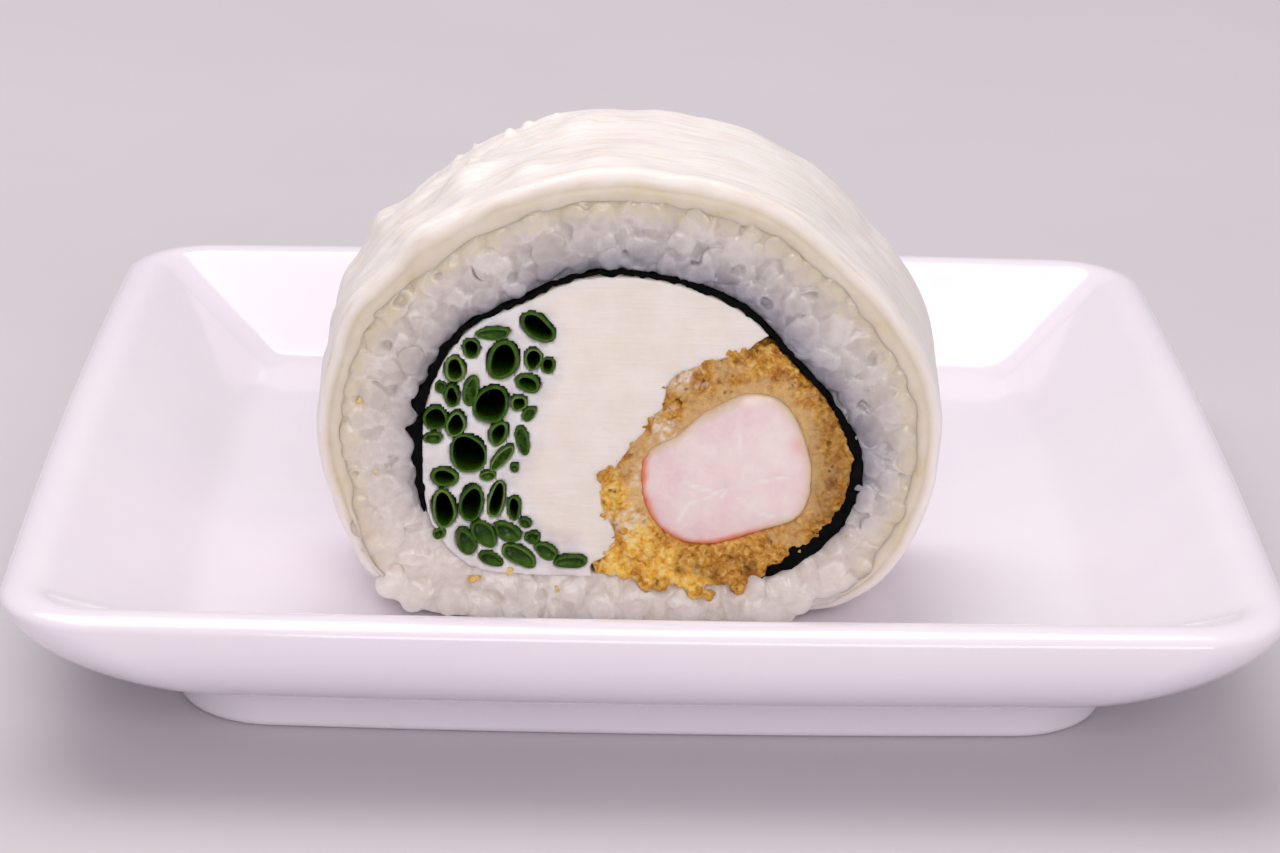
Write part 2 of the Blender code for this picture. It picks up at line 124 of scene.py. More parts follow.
def grown(outline: Points, distances: Any) -> Points:
    """Move an outline out along its own normals, or in where a distance is negative."""
    ahead = np.roll(outline, -1, 0) - np.roll(outline, 1, 0)
    normals = np.column_stack([ahead[:, 1], -ahead[:, 0]])
    normals /= np.linalg.norm(normals, axis=1)[:, None]
    after = np.roll(outline, -1, 0)
    area = np.sum(outline[:, 0] * after[:, 1] - after[:, 0] * outline[:, 1])
    return outline + normals * math.copysign(1.0, area) * np.reshape(distances, (-1, 1))


def inside(points: Points, outline: Points) -> Points:
    """Tell which points lie within a closed outline."""
    after = np.roll(outline, -1, 0)
    x, z = points[:, :1], points[:, 1:]
    spans = (outline[:, 1] > z) != (after[:, 1] > z)
    rise = np.where(outline[:, 1] == after[:, 1], 1.0, after[:, 1] - outline[:, 1])
    crossing = outline[:, 0] + (z - outline[:, 1]) * (after[:, 0] - outline[:, 0]) / rise
    return np.sum(spans & (x < crossing), 1) % 2 == 1


def way_to(points: Points, outline: Points) -> Points:
    """Measure the shortest way from each point to an outline."""
    along = np.roll(outline, -1, 0) - outline
    span = np.maximum(np.sum(along * along, 1), 1e-18)
    offset = points[:, None, :] - outline
    share = np.clip(np.sum(offset * along, 2) / span, 0.0, 1.0)
    return np.min(np.linalg.norm(offset - along * share[..., None], axis=2), 1)


# Meshes


def loft(shape: bmesh.types.BMesh, rings: Iterable[Points], cyclic: bool = False) -> list[list]:
    """Bridge equal rings of points into one skin.

    Args:
        shape: the bmesh that takes the skin.
        rings: rings of points with the same count.
        cyclic: whether the last ring joins the first; otherwise both ends are capped.

    Returns:
        The corners of each ring.
    """
    corners, loops = [], []
    for ring in rings:
        row = [shape.verts.new(point) for point in ring]
        corners.append(row)
        loops.append([shape.edges.new(pair) for pair in zip(row, row[1:] + row[:1])])
    pairs = list(zip(loops, loops[1:]))
    if cyclic:
        pairs.append((loops[-1], loops[0]))
    for low, high in pairs:
        bmesh.ops.bridge_loops(shape, edges=low + high)
    if not cyclic:
        for end in (loops[0], loops[-1]):
            bmesh.ops.contextual_create(shape, geom=end)
    return corners


def to_piece(name: str, shape: bmesh.types.BMesh) -> Piece:
    """Turn a bmesh into a named object in the scene, with merged corners and outward faces."""
    bmesh.ops.remove_doubles(shape, verts=shape.verts, dist=0.001 * MM)
    bmesh.ops.recalc_face_normals(shape, faces=shape.faces)
    bmesh.ops.triangulate(shape, faces=[face for face in shape.faces if len(face.verts) > 4])
    mesh = bpy.data.meshes.new(name)
    shape.to_mesh(mesh)
    shape.free()
    piece = bpy.data.objects.new(name, mesh)
    bpy.context.scene.collection.objects.link(piece)
    return piece


def applied(piece: Piece) -> Piece:
    """Bake an object's modifiers into its mesh."""
    graph = bpy.context.evaluated_depsgraph_get()
    result = bpy.data.meshes.new_from_object(piece.evaluated_get(graph), depsgraph=graph)
    piece.modifiers.clear()
    piece.data = result
    return piece


def combined(piece: Piece, operation: str, other: Piece) -> Piece:
    """Intersect an object with another, or cut the other from it, and remove the other."""
    change = piece.modifiers.new("cut", "BOOLEAN")
    change.operation = operation
    change.solver = "EXACT"
    change.object = other
    applied(piece)
    bpy.data.objects.remove(other, do_unlink=True)
    return piece


def fused(piece: Piece, voxel: float, smoothing: int) -> Piece:
    """Melt an object's overlapping shells into one even skin.

    Args:
        piece: the object to melt.
        voxel: size of the new mesh's cells, in metres.
        smoothing: rounds of smoothing afterwards.

    Returns:
        The same object.
    """
    change = piece.modifiers.new("fuse", "REMESH")
    change.mode = "VOXEL"
    change.voxel_size = voxel
    change.adaptivity = 0.0
    applied(piece)
    return soften(piece, smoothing, 0.5)


def soften(piece: Piece, rounds: int, factor: float) -> Piece:
    """Smooth an object's mesh a few times over."""
    shape = bmesh.new()
    shape.from_mesh(piece.data)
    for _ in range(rounds):
        bmesh.ops.smooth_vert(shape, verts=shape.verts, factor=factor,
                              use_axis_x=True, use_axis_y=True, use_axis_z=True)
    shape.to_mesh(piece.data)
    shape.free()
    return piece


def largest(piece: Piece) -> Piece:
    """Keep only the largest of the separate shells of an object's mesh."""
    shape = bmesh.new()
    shape.from_mesh(piece.data)
    unseen = set(shape.verts)
    shells = []
    while unseen:
        start = unseen.pop()
        shell, front = [start], [start]
        while front:
            corner = front.pop()
            for edge in corner.link_edges:
                other = edge.other_vert(corner)
                if other in unseen:
                    unseen.remove(other)
                    shell.append(other)
                    front.append(other)
        shells.append(shell)
    shells.sort(key=len)
    for shell in shells[:-1]:
        bmesh.ops.delete(shape, geom=shell, context="VERTS")
    shape.to_mesh(piece.data)
    shape.free()
    return piece


def places(piece: Piece) -> Points:
    """Read the corners of an object's mesh."""
    flat = np.empty(len(piece.data.vertices) * 3, np.float32)
    piece.data.vertices.foreach_get("co", flat)
    return flat.reshape(-1, 3).astype(float)


def normals(piece: Piece) -> Points:
    """Read the normals at the corners of an object's mesh."""
    flat = np.empty(len(piece.data.vertices) * 3, np.float32)
    piece.data.vertices.foreach_get("normal", flat)
    return flat.reshape(-1, 3).astype(float)


def move_to(piece: Piece, points: Points) -> None:
    """Set the corners of an object's mesh."""
    piece.data.vertices.foreach_set("co", points.astype(np.float32).ravel())
    piece.data.update()


def mark(piece: Piece, name: str, values: Points) -> None:
    """Store one number for each corner, which the piece's finish reads."""
    layer = piece.data.attributes.new(name, "FLOAT", "POINT")
    layer.data.foreach_set("value", np.asarray(values, np.float32))


def wave(points: Points, size: Any, octaves: int = 1) -> Points:
    """Read smooth noise at each point.

    Args:
        points: places in metres.
        size: size of one swell in metres, the same along all axes or one for each.
        octaves: how many ever finer layers add up.

    Returns:
        Values from about -1 to 1.
    """
    scaled = points / np.asarray(size)
    if octaves == 1:
        return np.array([noise.noise(Vector(point)) for point in scaled])
    return np.array([noise.fractal(Vector(point), 0.8, 2.0, octaves) for point in scaled])


# Finishes


def linear(code: str) -> tuple[float, float, float, float]:
    """Turn an sRGB hex colour into linear light."""
    parts = [int(code[i:i + 2], 16) / 255 for i in (1, 3, 5)]
    return (*[p / 12.92 if p <= 0.04045 else ((p + 0.055) / 1.055) ** 2.4 for p in parts], 1.0)


def add_node(tree: Tree, kind: str, inputs: dict[Any, Any] | None = None,
             stops: Sequence[tuple[float, str]] = (), **settings: Any) -> bpy.types.Node:
    """Add a node with its settings, input values and links.

    Args:
        tree: the material's node tree.
        kind: Blender's name for the node.
        inputs: a value, or a socket to link from, for each named or numbered input.
        stops: places and colours of a colour ramp.
        **settings: properties of the node.

    Returns:
        The node.
    """
    node = tree.nodes.new(kind)
    for key, value in settings.items():
        setattr(node, key, value)
    if stops:
        ramp = node.color_ramp
        ramp.elements.remove(ramp.elements[-1])
        ramp.elements[0].position = stops[0][0]
        ramp.elements[0].color = linear(stops[0][1])
        for place, code in stops[1:]:
            ramp.elements.new(place).color = linear(code)
    for key, value in (inputs or {}).items():
        if isinstance(value, bpy.types.NodeSocket):
            tree.links.new(value, node.inputs[key])
        else:
            node.inputs[key].default_value = value
    return node


@dataclass(frozen=True)
class Finish:
    """A surface, by what it is and how it answers light.

    Attributes:
        name: what the real one is.
        roughness: middle of its roughness.
        spread: how far the roughness wanders from that middle.
        ior: how strongly it bends light.
        mottle_mm: size of the patches in which colour and roughness wander.
        glow: share of light that goes under the skin.
        depth_mm: how far red, green and blue light travel there.
        coat: wetness on top.
    """

    name: str
    roughness: float
    spread: float
    ior: float
    mottle_mm: float
    glow: float = 0.0
    depth_mm: tuple[float, float, float] = (1.0, 0.9, 0.8)
    coat: float = 0.0

    def build(self) -> bpy.types.Material:
        """Make the material, with colour, roughness and relief from its own patterns."""
        material = bpy.data.materials.new(self.name)
        material.use_nodes = True
        tree = material.node_tree
        shader = tree.nodes["Principled BSDF"]
        shader.inputs["IOR"].default_value = self.ior
        shader.inputs["Subsurface Weight"].default_value = self.glow
        shader.inputs["Subsurface Radius"].default_value = self.depth_mm
        shader.inputs["Subsurface Scale"].default_value = MM
        shader.inputs["Coat Weight"].default_value = self.coat
        shader.inputs["Coat Roughness"].default_value = 0.12
        place = add_node(tree, "ShaderNodeTexCoord").outputs["Object"]
        patches = self.pattern(tree, place, self.mottle_mm, detail=3.0)
        rough = add_node(tree, "ShaderNodeMapRange", {
            "Value": patches, "From Min": 0.3, "From Max": 0.7,
            "To Min": self.roughness - self.spread, "To Max": self.roughness + self.spread})
        tree.links.new(rough.outputs["Result"], shader.inputs["Roughness"])
        tree.links.new(self.colour(tree, place, patches), shader.inputs["Base Color"])
        tree.links.new(self.relief(tree, place), shader.inputs["Normal"])
        return material

    @staticmethod
    def pattern(tree: Tree, place: Socket, size_mm: float, stretch: Sequence[float] = (1, 1, 1),
                detail: float = 2.0, distortion: float = 0.0) -> Socket:
        """Lay a noise of a real size over the piece.

        Args:
            tree: the material's node tree.
            place: the coordinates to read.
            size_mm: size of one patch.
            stretch: how much closer the pattern lies along each axis.
            detail: how many finer layers it has.
            distortion: how much it is swirled.

        Returns:
            The noise's value.
        """
        scale = [1.0 / (size_mm * MM) * share for share in stretch]
        mapping = add_node(tree, "ShaderNodeMapping", {"Vector": place, "Scale": scale})
        return add_node(tree, "ShaderNodeTexNoise", {
            "Vector": mapping.outputs["Vector"], "Scale": 1.0, "Detail": detail,
            "Roughness": 0.55, "Distortion": distortion}).outputs["Fac"]

    @staticmethod
    def stored(tree: Tree, name: str) -> Socket:
        """Read a number that the piece stores for each corner."""
        return add_node(tree, "ShaderNodeAttribute", attribute_name=name).outputs["Fac"]

    @staticmethod
    def mixed(tree: Tree, share: Any, first: Any, second: Any, blend_type: str = "MIX") -> Socket:
        """Mix two colours by a share."""
        return add_node(tree, "ShaderNodeMix", {0: share, MIX_A: first, MIX_B: second},
                        data_type="RGBA", blend_type=blend_type).outputs[MIX_OUT]

    @staticmethod
    def bumped(tree: Tree, heights: Sequence[tuple[Socket, float]]) -> Socket:
        """Chain bumps, each given by its height pattern and its real depth in millimetres."""
        normal = None
        for height, depth_mm in heights:
            inputs = {"Height": height, "Distance": depth_mm * MM, "Strength": 1.0}
            if normal is not None:
                inputs["Normal"] = normal
            normal = add_node(tree, "ShaderNodeBump", inputs).outputs["Normal"]
        return normal

    def colour(self, tree: Tree, place: Socket, patches: Socket) -> Socket:
        """Give the colour all over the surface."""
        raise NotImplementedError

    def relief(self, tree: Tree, place: Socket) -> Socket:
        """Give the fine relief."""
        return self.bumped(tree, [(self.pattern(tree, place, self.mottle_mm / 4), 0.02)])


@dataclass(frozen=True)
class PorcelainGlaze(Finish):
    """Glazed white porcelain: a hard, slightly pink-lavender white with clear, soft mirror images."""

    def colour(self, tree: Tree, place: Socket, patches: Socket) -> Socket:
        """Give the white of the body, a little cooler in broad patches."""
        return add_node(tree, "ShaderNodeValToRGB", {"Fac": patches},
                        stops=((0.3, "#f3ebf6"), (0.7, "#f7f0f9"))).outputs["Color"]

    def relief(self, tree: Tree, place: Socket) -> Socket:
        """Let the glaze lie in very shallow waves."""
        return self.bumped(tree, [(self.pattern(tree, place, 11.0), 0.06),
                                  (self.pattern(tree, place, 1.6), 0.0012)])


@dataclass(frozen=True)
class CreamSkin(Finish):
    """Spread cream cheese: a smooth fatty white skin with drawn-out lines, and a duller, yellower cut."""

    def colour(self, tree: Tree, place: Socket, patches: Socket) -> Socket:
        """Give warm white, with faint beige streaks round the roll and a yellower cut face."""
        streaks = self.pattern(tree, place, 0.5, (0.12, 1.0, 0.12), 4.0)
        skin = add_node(tree, "ShaderNodeValToRGB", {"Fac": streaks},
                        stops=((0.28, "#eadcd2"), (0.42, "#f5ebe5"), (0.62, "#faf4f0"))).outputs["Color"]
        cut = add_node(tree, "ShaderNodeValToRGB", {"Fac": patches},
                       stops=((0.3, "#d6c9a2"), (0.42, "#ddd1bc"), (0.7, "#e4dacc"))).outputs["Color"]
        return self.mixed(tree, self.stored(tree, "cut"), skin, cut)

    def relief(self, tree: Tree, place: Socket) -> Socket:
        """Draw fine lines round the roll, with a soft grain between them."""
        lines = self.pattern(tree, place, 0.4, (0.1, 1.0, 0.1), 3.0)
        grain = self.pattern(tree, place, 1.1)
        return self.bumped(tree, [(lines, 0.022), (grain, 0.04)])


@dataclass(frozen=True)
class CookedRice(Finish):
    """Steamed short-grain rice: moist and see-through, so grains differ in milkiness."""

    def colour(self, tree: Tree, place: Socket, patches: Socket) -> Socket:
        """Give each grain its own milkiness, and painted shade: a darker bluish grey by the nori, with the
        rice's own warm white away from it.
        """
        tone = self.stored(tree, "tone")
        shaded_rice = add_node(tree, "ShaderNodeValToRGB", {"Fac": tone},
                        stops=((0.0, "#87848e"), (0.5, "#9a97a1"), (1.0, "#b7b4bc"))).outputs["Color"]
        warm = add_node(tree, "ShaderNodeValToRGB", {"Fac": tone},
                        stops=((0.0, "#d6ccc2"), (0.5, "#e3d9d0"), (1.0, "#f0e9e2"))).outputs["Color"]
        # Painted shade: the stored warm share keeps the rice's own warm white, and the rest turns to the
        # darker bluish grey.
        steamed = self.mixed(tree, self.stored(tree, "warm"), shaded_rice, warm)
        return self.mixed(tree, self.stored(tree, "smeared"), steamed, linear("#ddd0b3"))

    def relief(self, tree: Tree, place: Socket) -> Socket:
        """Give the starch film on the grains."""
        return self.bumped(tree, [(self.pattern(tree, place, 1.0, distortion=1.2), 0.1),
                                  (self.pattern(tree, place, 0.3), 0.02)])


@dataclass(frozen=True)
class Seaweed(Finish):
    """Pressed seaweed softened by the rice: almost black, green-brown where light grazes it."""

    def colour(self, tree: Tree, place: Socket, patches: Socket) -> Socket:
        """Give black with faint green-brown fibres."""
        return add_node(tree, "ShaderNodeValToRGB", {"Fac": self.pattern(tree, place, 0.5, detail=4.0)},
                        stops=((0.35, "#040506"), (0.62, "#090b0a"), (0.85, "#191b12"))).outputs["Color"]

    def relief(self, tree: Tree, place: Socket) -> Socket:
        """Give the wrinkles of the wet sheet."""
        return self.bumped(tree, [(self.pattern(tree, place, 0.6, detail=4.0), 0.16)])


@dataclass(frozen=True)
class CreamCheese(Finish):
    """Fresh white cheese cut with a knife: ivory and matte, with faint lines where the blade went."""

    def colour(self, tree: Tree, place: Socket, patches: Socket) -> Socket:
        """Give ivory in two close tones, and a cleaner white where it is moist round the chives."""
        dry = add_node(tree, "ShaderNodeValToRGB", {"Fac": patches},
                       stops=((0.32, "#f2e9df"), (0.68, "#f7f0e8"))).outputs["Color"]
        moist = add_node(tree, "ShaderNodeValToRGB", {"Fac": patches},
                         stops=((0.32, "#ded8d6"), (0.68, "#f4f0f0"))).outputs["Color"]
        return self.mixed(tree, self.stored(tree, "moist"), dry, moist)

    def relief(self, tree: Tree, place: Socket) -> Socket:
        """Draw the knife's lines across the face, and a soft curd grain."""
        blade = self.pattern(tree, place, 0.55, (0.09, 1.0, 1.0), 3.0, 0.35)
        return self.bumped(tree, [(blade, 0.13), (self.pattern(tree, place, 0.8), 0.04)])


@dataclass(frozen=True)
class ChiveGreen(Finish):
    """Raw chive: waxy dark green outside, a lighter cut rim, and painted shade that makes the bore nearly
    black.
    """

    def colour(self, tree: Tree, place: Socket, patches: Socket) -> Socket:
        """Give painted shade in the bore, black deep down and dark green near its opening, with painted
        light on its lower wall, and fresh green on the rim and the wall.
        """
        base = add_node(tree, "ShaderNodeValToRGB", {"Fac": self.stored(tree, "part")}, stops=(
            (0.0, "#020401"), (0.2, "#0a1504"), (0.42, "#1e3a0a"), (0.62, "#375c12"), (0.8, "#4d7422"),
            (1.0, "#77924c")))
        lengthwise = self.pattern(tree, place, 0.35, (1.0, 0.2, 1.0), 3.0)
        veins = add_node(tree, "ShaderNodeValToRGB", {"Fac": lengthwise},
                         stops=((0.3, "#8fa07c"), (0.7, "#ffffff"))).outputs["Color"]
        return self.mixed(tree, 0.7, base.outputs["Color"], veins, "MULTIPLY")

    def relief(self, tree: Tree, place: Socket) -> Socket:
        """Run fine ribs along the tube."""
        return self.bumped(tree, [(self.pattern(tree, place, 0.3, (1.0, 0.1, 1.0)), 0.05)])


@dataclass(frozen=True)
class FriedCrumb(Finish):
    """Deep-fried bread crumb: porous golden brown, pale where it meets the prawn, with painted shade in its
    holes.
    """

    def colour(self, tree: Tree, place: Socket, patches: Socket) -> Socket:
        """Give gold by the crumb's own browning, paler inside, with painted shade in the pits."""
        specks = self.pattern(tree, place, 0.55, detail=5.0, distortion=0.5)
        gold = add_node(tree, "ShaderNodeValToRGB", {"Fac": specks}, stops=(
            (0.3, "#8a4f0c"), (0.42, "#b87a22"), (0.54, "#d49c3e"), (0.72, "#f0cc7c"))).outputs["Color"]
        bright = add_node(tree, "ShaderNodeValToRGB", {"Fac": specks}, stops=(
            (0.3, "#d68e14"), (0.44, "#f8c040"), (0.66, "#ffe596"))).outputs["Color"]
        crumb = self.mixed(tree, self.stored(tree, "bright"), gold, bright)
        soft = self.mixed(tree, self.stored(tree, "soft"), crumb, linear("#dfba80"))
        creamy = self.mixed(tree, self.stored(tree, "creamy"), soft, linear("#f5e9dc"))
        # The pit share is painted shade in the pits, and it also darkens the listed dark spots.
        return self.mixed(tree, self.stored(tree, "pit"), creamy, linear("#6e430c"))

    def relief(self, tree: Tree, place: Socket) -> Socket:
        """Give the open grain of crumb."""
        return self.bumped(tree, [(self.pattern(tree, place, 0.45, detail=4.0, distortion=0.5), 0.24),
                                  (self.pattern(tree, place, 0.16, detail=2.0), 0.05)])


@dataclass(frozen=True)
class PrawnFlesh(Finish):
    """Cooked prawn: moist pale pink flesh with white fibres, and a red-orange line where its skin was."""

    def colour(self, tree: Tree, place: Socket, patches: Socket) -> Socket:
        """Give pale pink with white fibres, a pink blush and the red skin line."""
        flesh = add_node(tree, "ShaderNodeValToRGB", {"Fac": patches},
                         stops=((0.3, "#f0d8db"), (0.5, "#f4e2e2"), (0.7, "#f8ece8"))).outputs["Color"]
        fibre = self.mixed(tree, self.stored(tree, "fibre"), flesh, linear("#fdf7f2"))
        blush = self.mixed(tree, self.stored(tree, "blush"), fibre, linear("#efb3aa"))
        soaked = self.mixed(tree, self.stored(tree, "batter"), blush, linear("#e9d3b6"))
        return self.mixed(tree, self.stored(tree, "skin"), soaked, linear("#f5865a"))

    def relief(self, tree: Tree, place: Socket) -> Socket:
        """Give the fibres' fine unevenness."""
        return self.bumped(tree, [(self.pattern(tree, place, 1.8, distortion=0.8), 0.12),
                                  (self.pattern(tree, place, 0.35), 0.02)])


@dataclass(frozen=True)
class PaleFloor(Finish):
    """Plain pale studio floor, matte painted board."""

    def colour(self, tree: Tree, place: Socket, patches: Socket) -> Socket:
        """Give one pale grey with a trace of unevenness."""
        return add_node(tree, "ShaderNodeValToRGB", {"Fac": patches},
                        stops=((0.3, "#cfcbd0"), (0.7, "#d2ced3"))).outputs["Color"]


PORCELAIN = PorcelainGlaze("glazed porcelain", 0.1, 0.02, 1.52, 24.0, glow=0.15)
CREAM = CreamSkin("spread cream cheese", 0.42, 0.06, 1.45, 3.0, glow=0.5, depth_mm=(1.2, 1.0, 0.7))
RICE = CookedRice("steamed rice", 0.24, 0.08, 1.42, 2.0, glow=0.85, depth_mm=(1.6, 1.5, 1.4), coat=0.25)
NORI = Seaweed("pressed seaweed", 0.6, 0.14, 1.14, 2.0)
CHEESE = CreamCheese("fresh white cheese", 0.42, 0.1, 1.45, 2.6, glow=0.5, depth_mm=(1.2, 1.0, 0.7))
CHIVE = ChiveGreen("raw chive", 0.22, 0.08, 1.26, 1.5)
CRUMB = FriedCrumb("fried bread crumb", 0.6, 0.14, 1.45, 1.0, glow=0.2, depth_mm=(0.8, 0.5, 0.25))
PRAWN = PrawnFlesh("cooked prawn", 0.32, 0.08, 1.42, 3.5, glow=0.6, depth_mm=(1.4, 1.0, 0.9), coat=0.25)
FLOOR = PaleFloor("pale studio board", 0.7, 0.03, 1.45, 60.0)


def dress(piece: Piece, finish: Finish, slot: str, *nodes: str) -> Piece:
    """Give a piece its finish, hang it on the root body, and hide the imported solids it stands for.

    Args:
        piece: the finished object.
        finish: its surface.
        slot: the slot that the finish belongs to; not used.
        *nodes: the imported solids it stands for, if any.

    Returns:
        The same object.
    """
    piece.data.materials.clear()
    material = bpy.data.materials.get(finish.name) or finish.build()
    piece.data.materials.append(material)
    piece.data.shade_smooth()
    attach(piece, BODY)
    if nodes:
        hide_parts(*nodes)
    triangles = sum(len(face.vertices) - 2 for face in piece.data.polygons)
    LOG.info("%s: %d triangles in %s", piece.name, triangles, finish.name)
    return piece


# The dish


@dataclass
class Dish:
    """The rounded-square porcelain dish, one skin of rounded squares along a profile."""

    width: float = 101.0 * MM
    depth: float = 98.0 * MM
    rim_height: float = 14.3 * MM
    floor_height: float = 6.8 * MM
    bulge: float = 0.6 * MM
    corner: float = 8.2 * MM
    belly_corner: float = 13.0 * MM
    floor_corner: float = 4.0 * MM
    lip_drop: float = 1.0 * MM
    lip_width: float = 2.0 * MM
    lip_inner: float = 4.2 * MM
    lip_inner_drop: float = 0.8 * MM
    wall_foot: float = 12.6 * MM
    floor_inset: float = 15.4 * MM
    foot_inset: float = 12.3 * MM
    foot_height: float = 4.4 * MM
    foot_rounding: float = 0.7 * MM
    foot_ring: float = 3.4 * MM
    foot_recess: float = 1.1 * MM
    corner_steps: int = 18
    side_steps: int = 10
    belly_steps: int = 20

    def ring(self, inset: float, height: float, radius: float) -> Points:
        """Lay out one level of the dish, a rounded square whose sides bow out slightly."""
        half_x = self.width / 2 - self.bulge - inset
        half_y = self.depth / 2 - self.bulge - inset
        points = []
        for quarter in range(4):
            across, beside = (half_x, half_y) if quarter % 2 == 0 else (half_y, half_x)
            flat = beside - radius
            shares = np.arange(1 - self.side_steps, self.side_steps) / self.side_steps
            side = np.column_stack([across + self.bulge * (1 - shares ** 2), flat * shares])
            angles = np.linspace(0.0, math.pi / 2, self.corner_steps + 1)
            bend = np.column_stack([across - radius + radius * np.cos(angles),
                                    flat + radius * np.sin(angles)])
            turn = quarter * math.pi / 2
            spin = np.array(((math.cos(turn), math.sin(turn)), (-math.sin(turn), math.cos(turn))))
            points.append(np.vstack([side, bend]) @ spin)
        flat_ring = np.vstack(points)
        return np.column_stack([flat_ring, np.full(len(flat_ring), height)])

    def levels(self) -> list[tuple[float, float, float]]:
        """List inset, height and corner radius from under the foot, over the lip, to the floor."""
        widest = self.rim_height - self.lip_drop
        foot_inner = self.foot_inset + self.foot_ring
        levels = [(foot_inner + 2.4 * self.foot_recess, self.foot_recess, self.floor_corner),
                  (foot_inner + self.foot_recess, 0.92 * self.foot_recess, self.floor_corner),
                  (foot_inner + 0.3 * self.foot_recess, 0.2 * self.foot_recess, self.floor_corner),
                  (foot_inner, 0.0, self.floor_corner),
                  (foot_inner - 0.3 * self.foot_recess, 0.0, self.floor_corner)]
        for angle in np.linspace(0.0, math.pi / 2, 5):
            draw = self.foot_rounding * (1 - math.sin(angle))
            levels.append((self.foot_inset + draw, self.foot_rounding * (1 - math.cos(angle)),
                           self.corner - draw))
        levels.append((self.foot_inset, self.foot_height - self.foot_rounding / 2, self.corner))
        for angle in np.linspace(math.pi / 2, 0.0, self.belly_steps + 1):
            levels.append((self.foot_inset * (1 - math.cos(angle)),
                           widest - (widest - self.foot_height) * math.sin(angle),
                           self.corner + (self.belly_corner - self.corner) * math.sin(2 * angle)))
        for angle in np.linspace(0.0, math.pi / 2, 9)[1:]:
            draw = self.lip_width * (1 - math.cos(angle))
            levels.append((draw, widest + self.lip_drop * math.sin(angle), self.corner - draw))
        inner = self.corner - self.lip_inner
        for share in (0.25, 0.5, 0.75, 1.0):
            levels.append((self.lip_width + (self.lip_inner - self.lip_width) * share,
                           self.rim_height - self.lip_inner_drop * share ** 2,
                           self.corner - self.lip_width - (self.lip_inner - self.lip_width) * share))
        top = self.rim_height - self.lip_inner_drop
        toe = self.floor_height + 0.85 * MM
        for share in (0.12, 0.35, 0.6, 0.85, 1.0):
            levels.append((self.lip_inner + (self.wall_foot - self.lip_inner) * share,
                           top + (toe - top) * share, inner))
        for share in (0.2, 0.4, 0.6, 0.8, 1.0):
            levels.append((self.wall_foot + (self.floor_inset - self.wall_foot) * share,
                           self.floor_height + (toe - self.floor_height) * (1 - share) ** 2, inner))
        return levels

    def build(self) -> Piece:
        """Loft the dish through its levels, and close its floor and the recess under its foot."""
        shape = bmesh.new()
        corners = loft(shape, [self.ring(*level) for level in self.levels()])
        for end in (corners[0], corners[-1]):
            cap = next(face for face in end[0].link_faces if len(face.verts) == len(end))
            bmesh.ops.inset_individual(shape, faces=[cap], thickness=2.0 * MM)
        return dress(to_piece("dish", shape), PORCELAIN, "porcelain", "plate")


# The roll


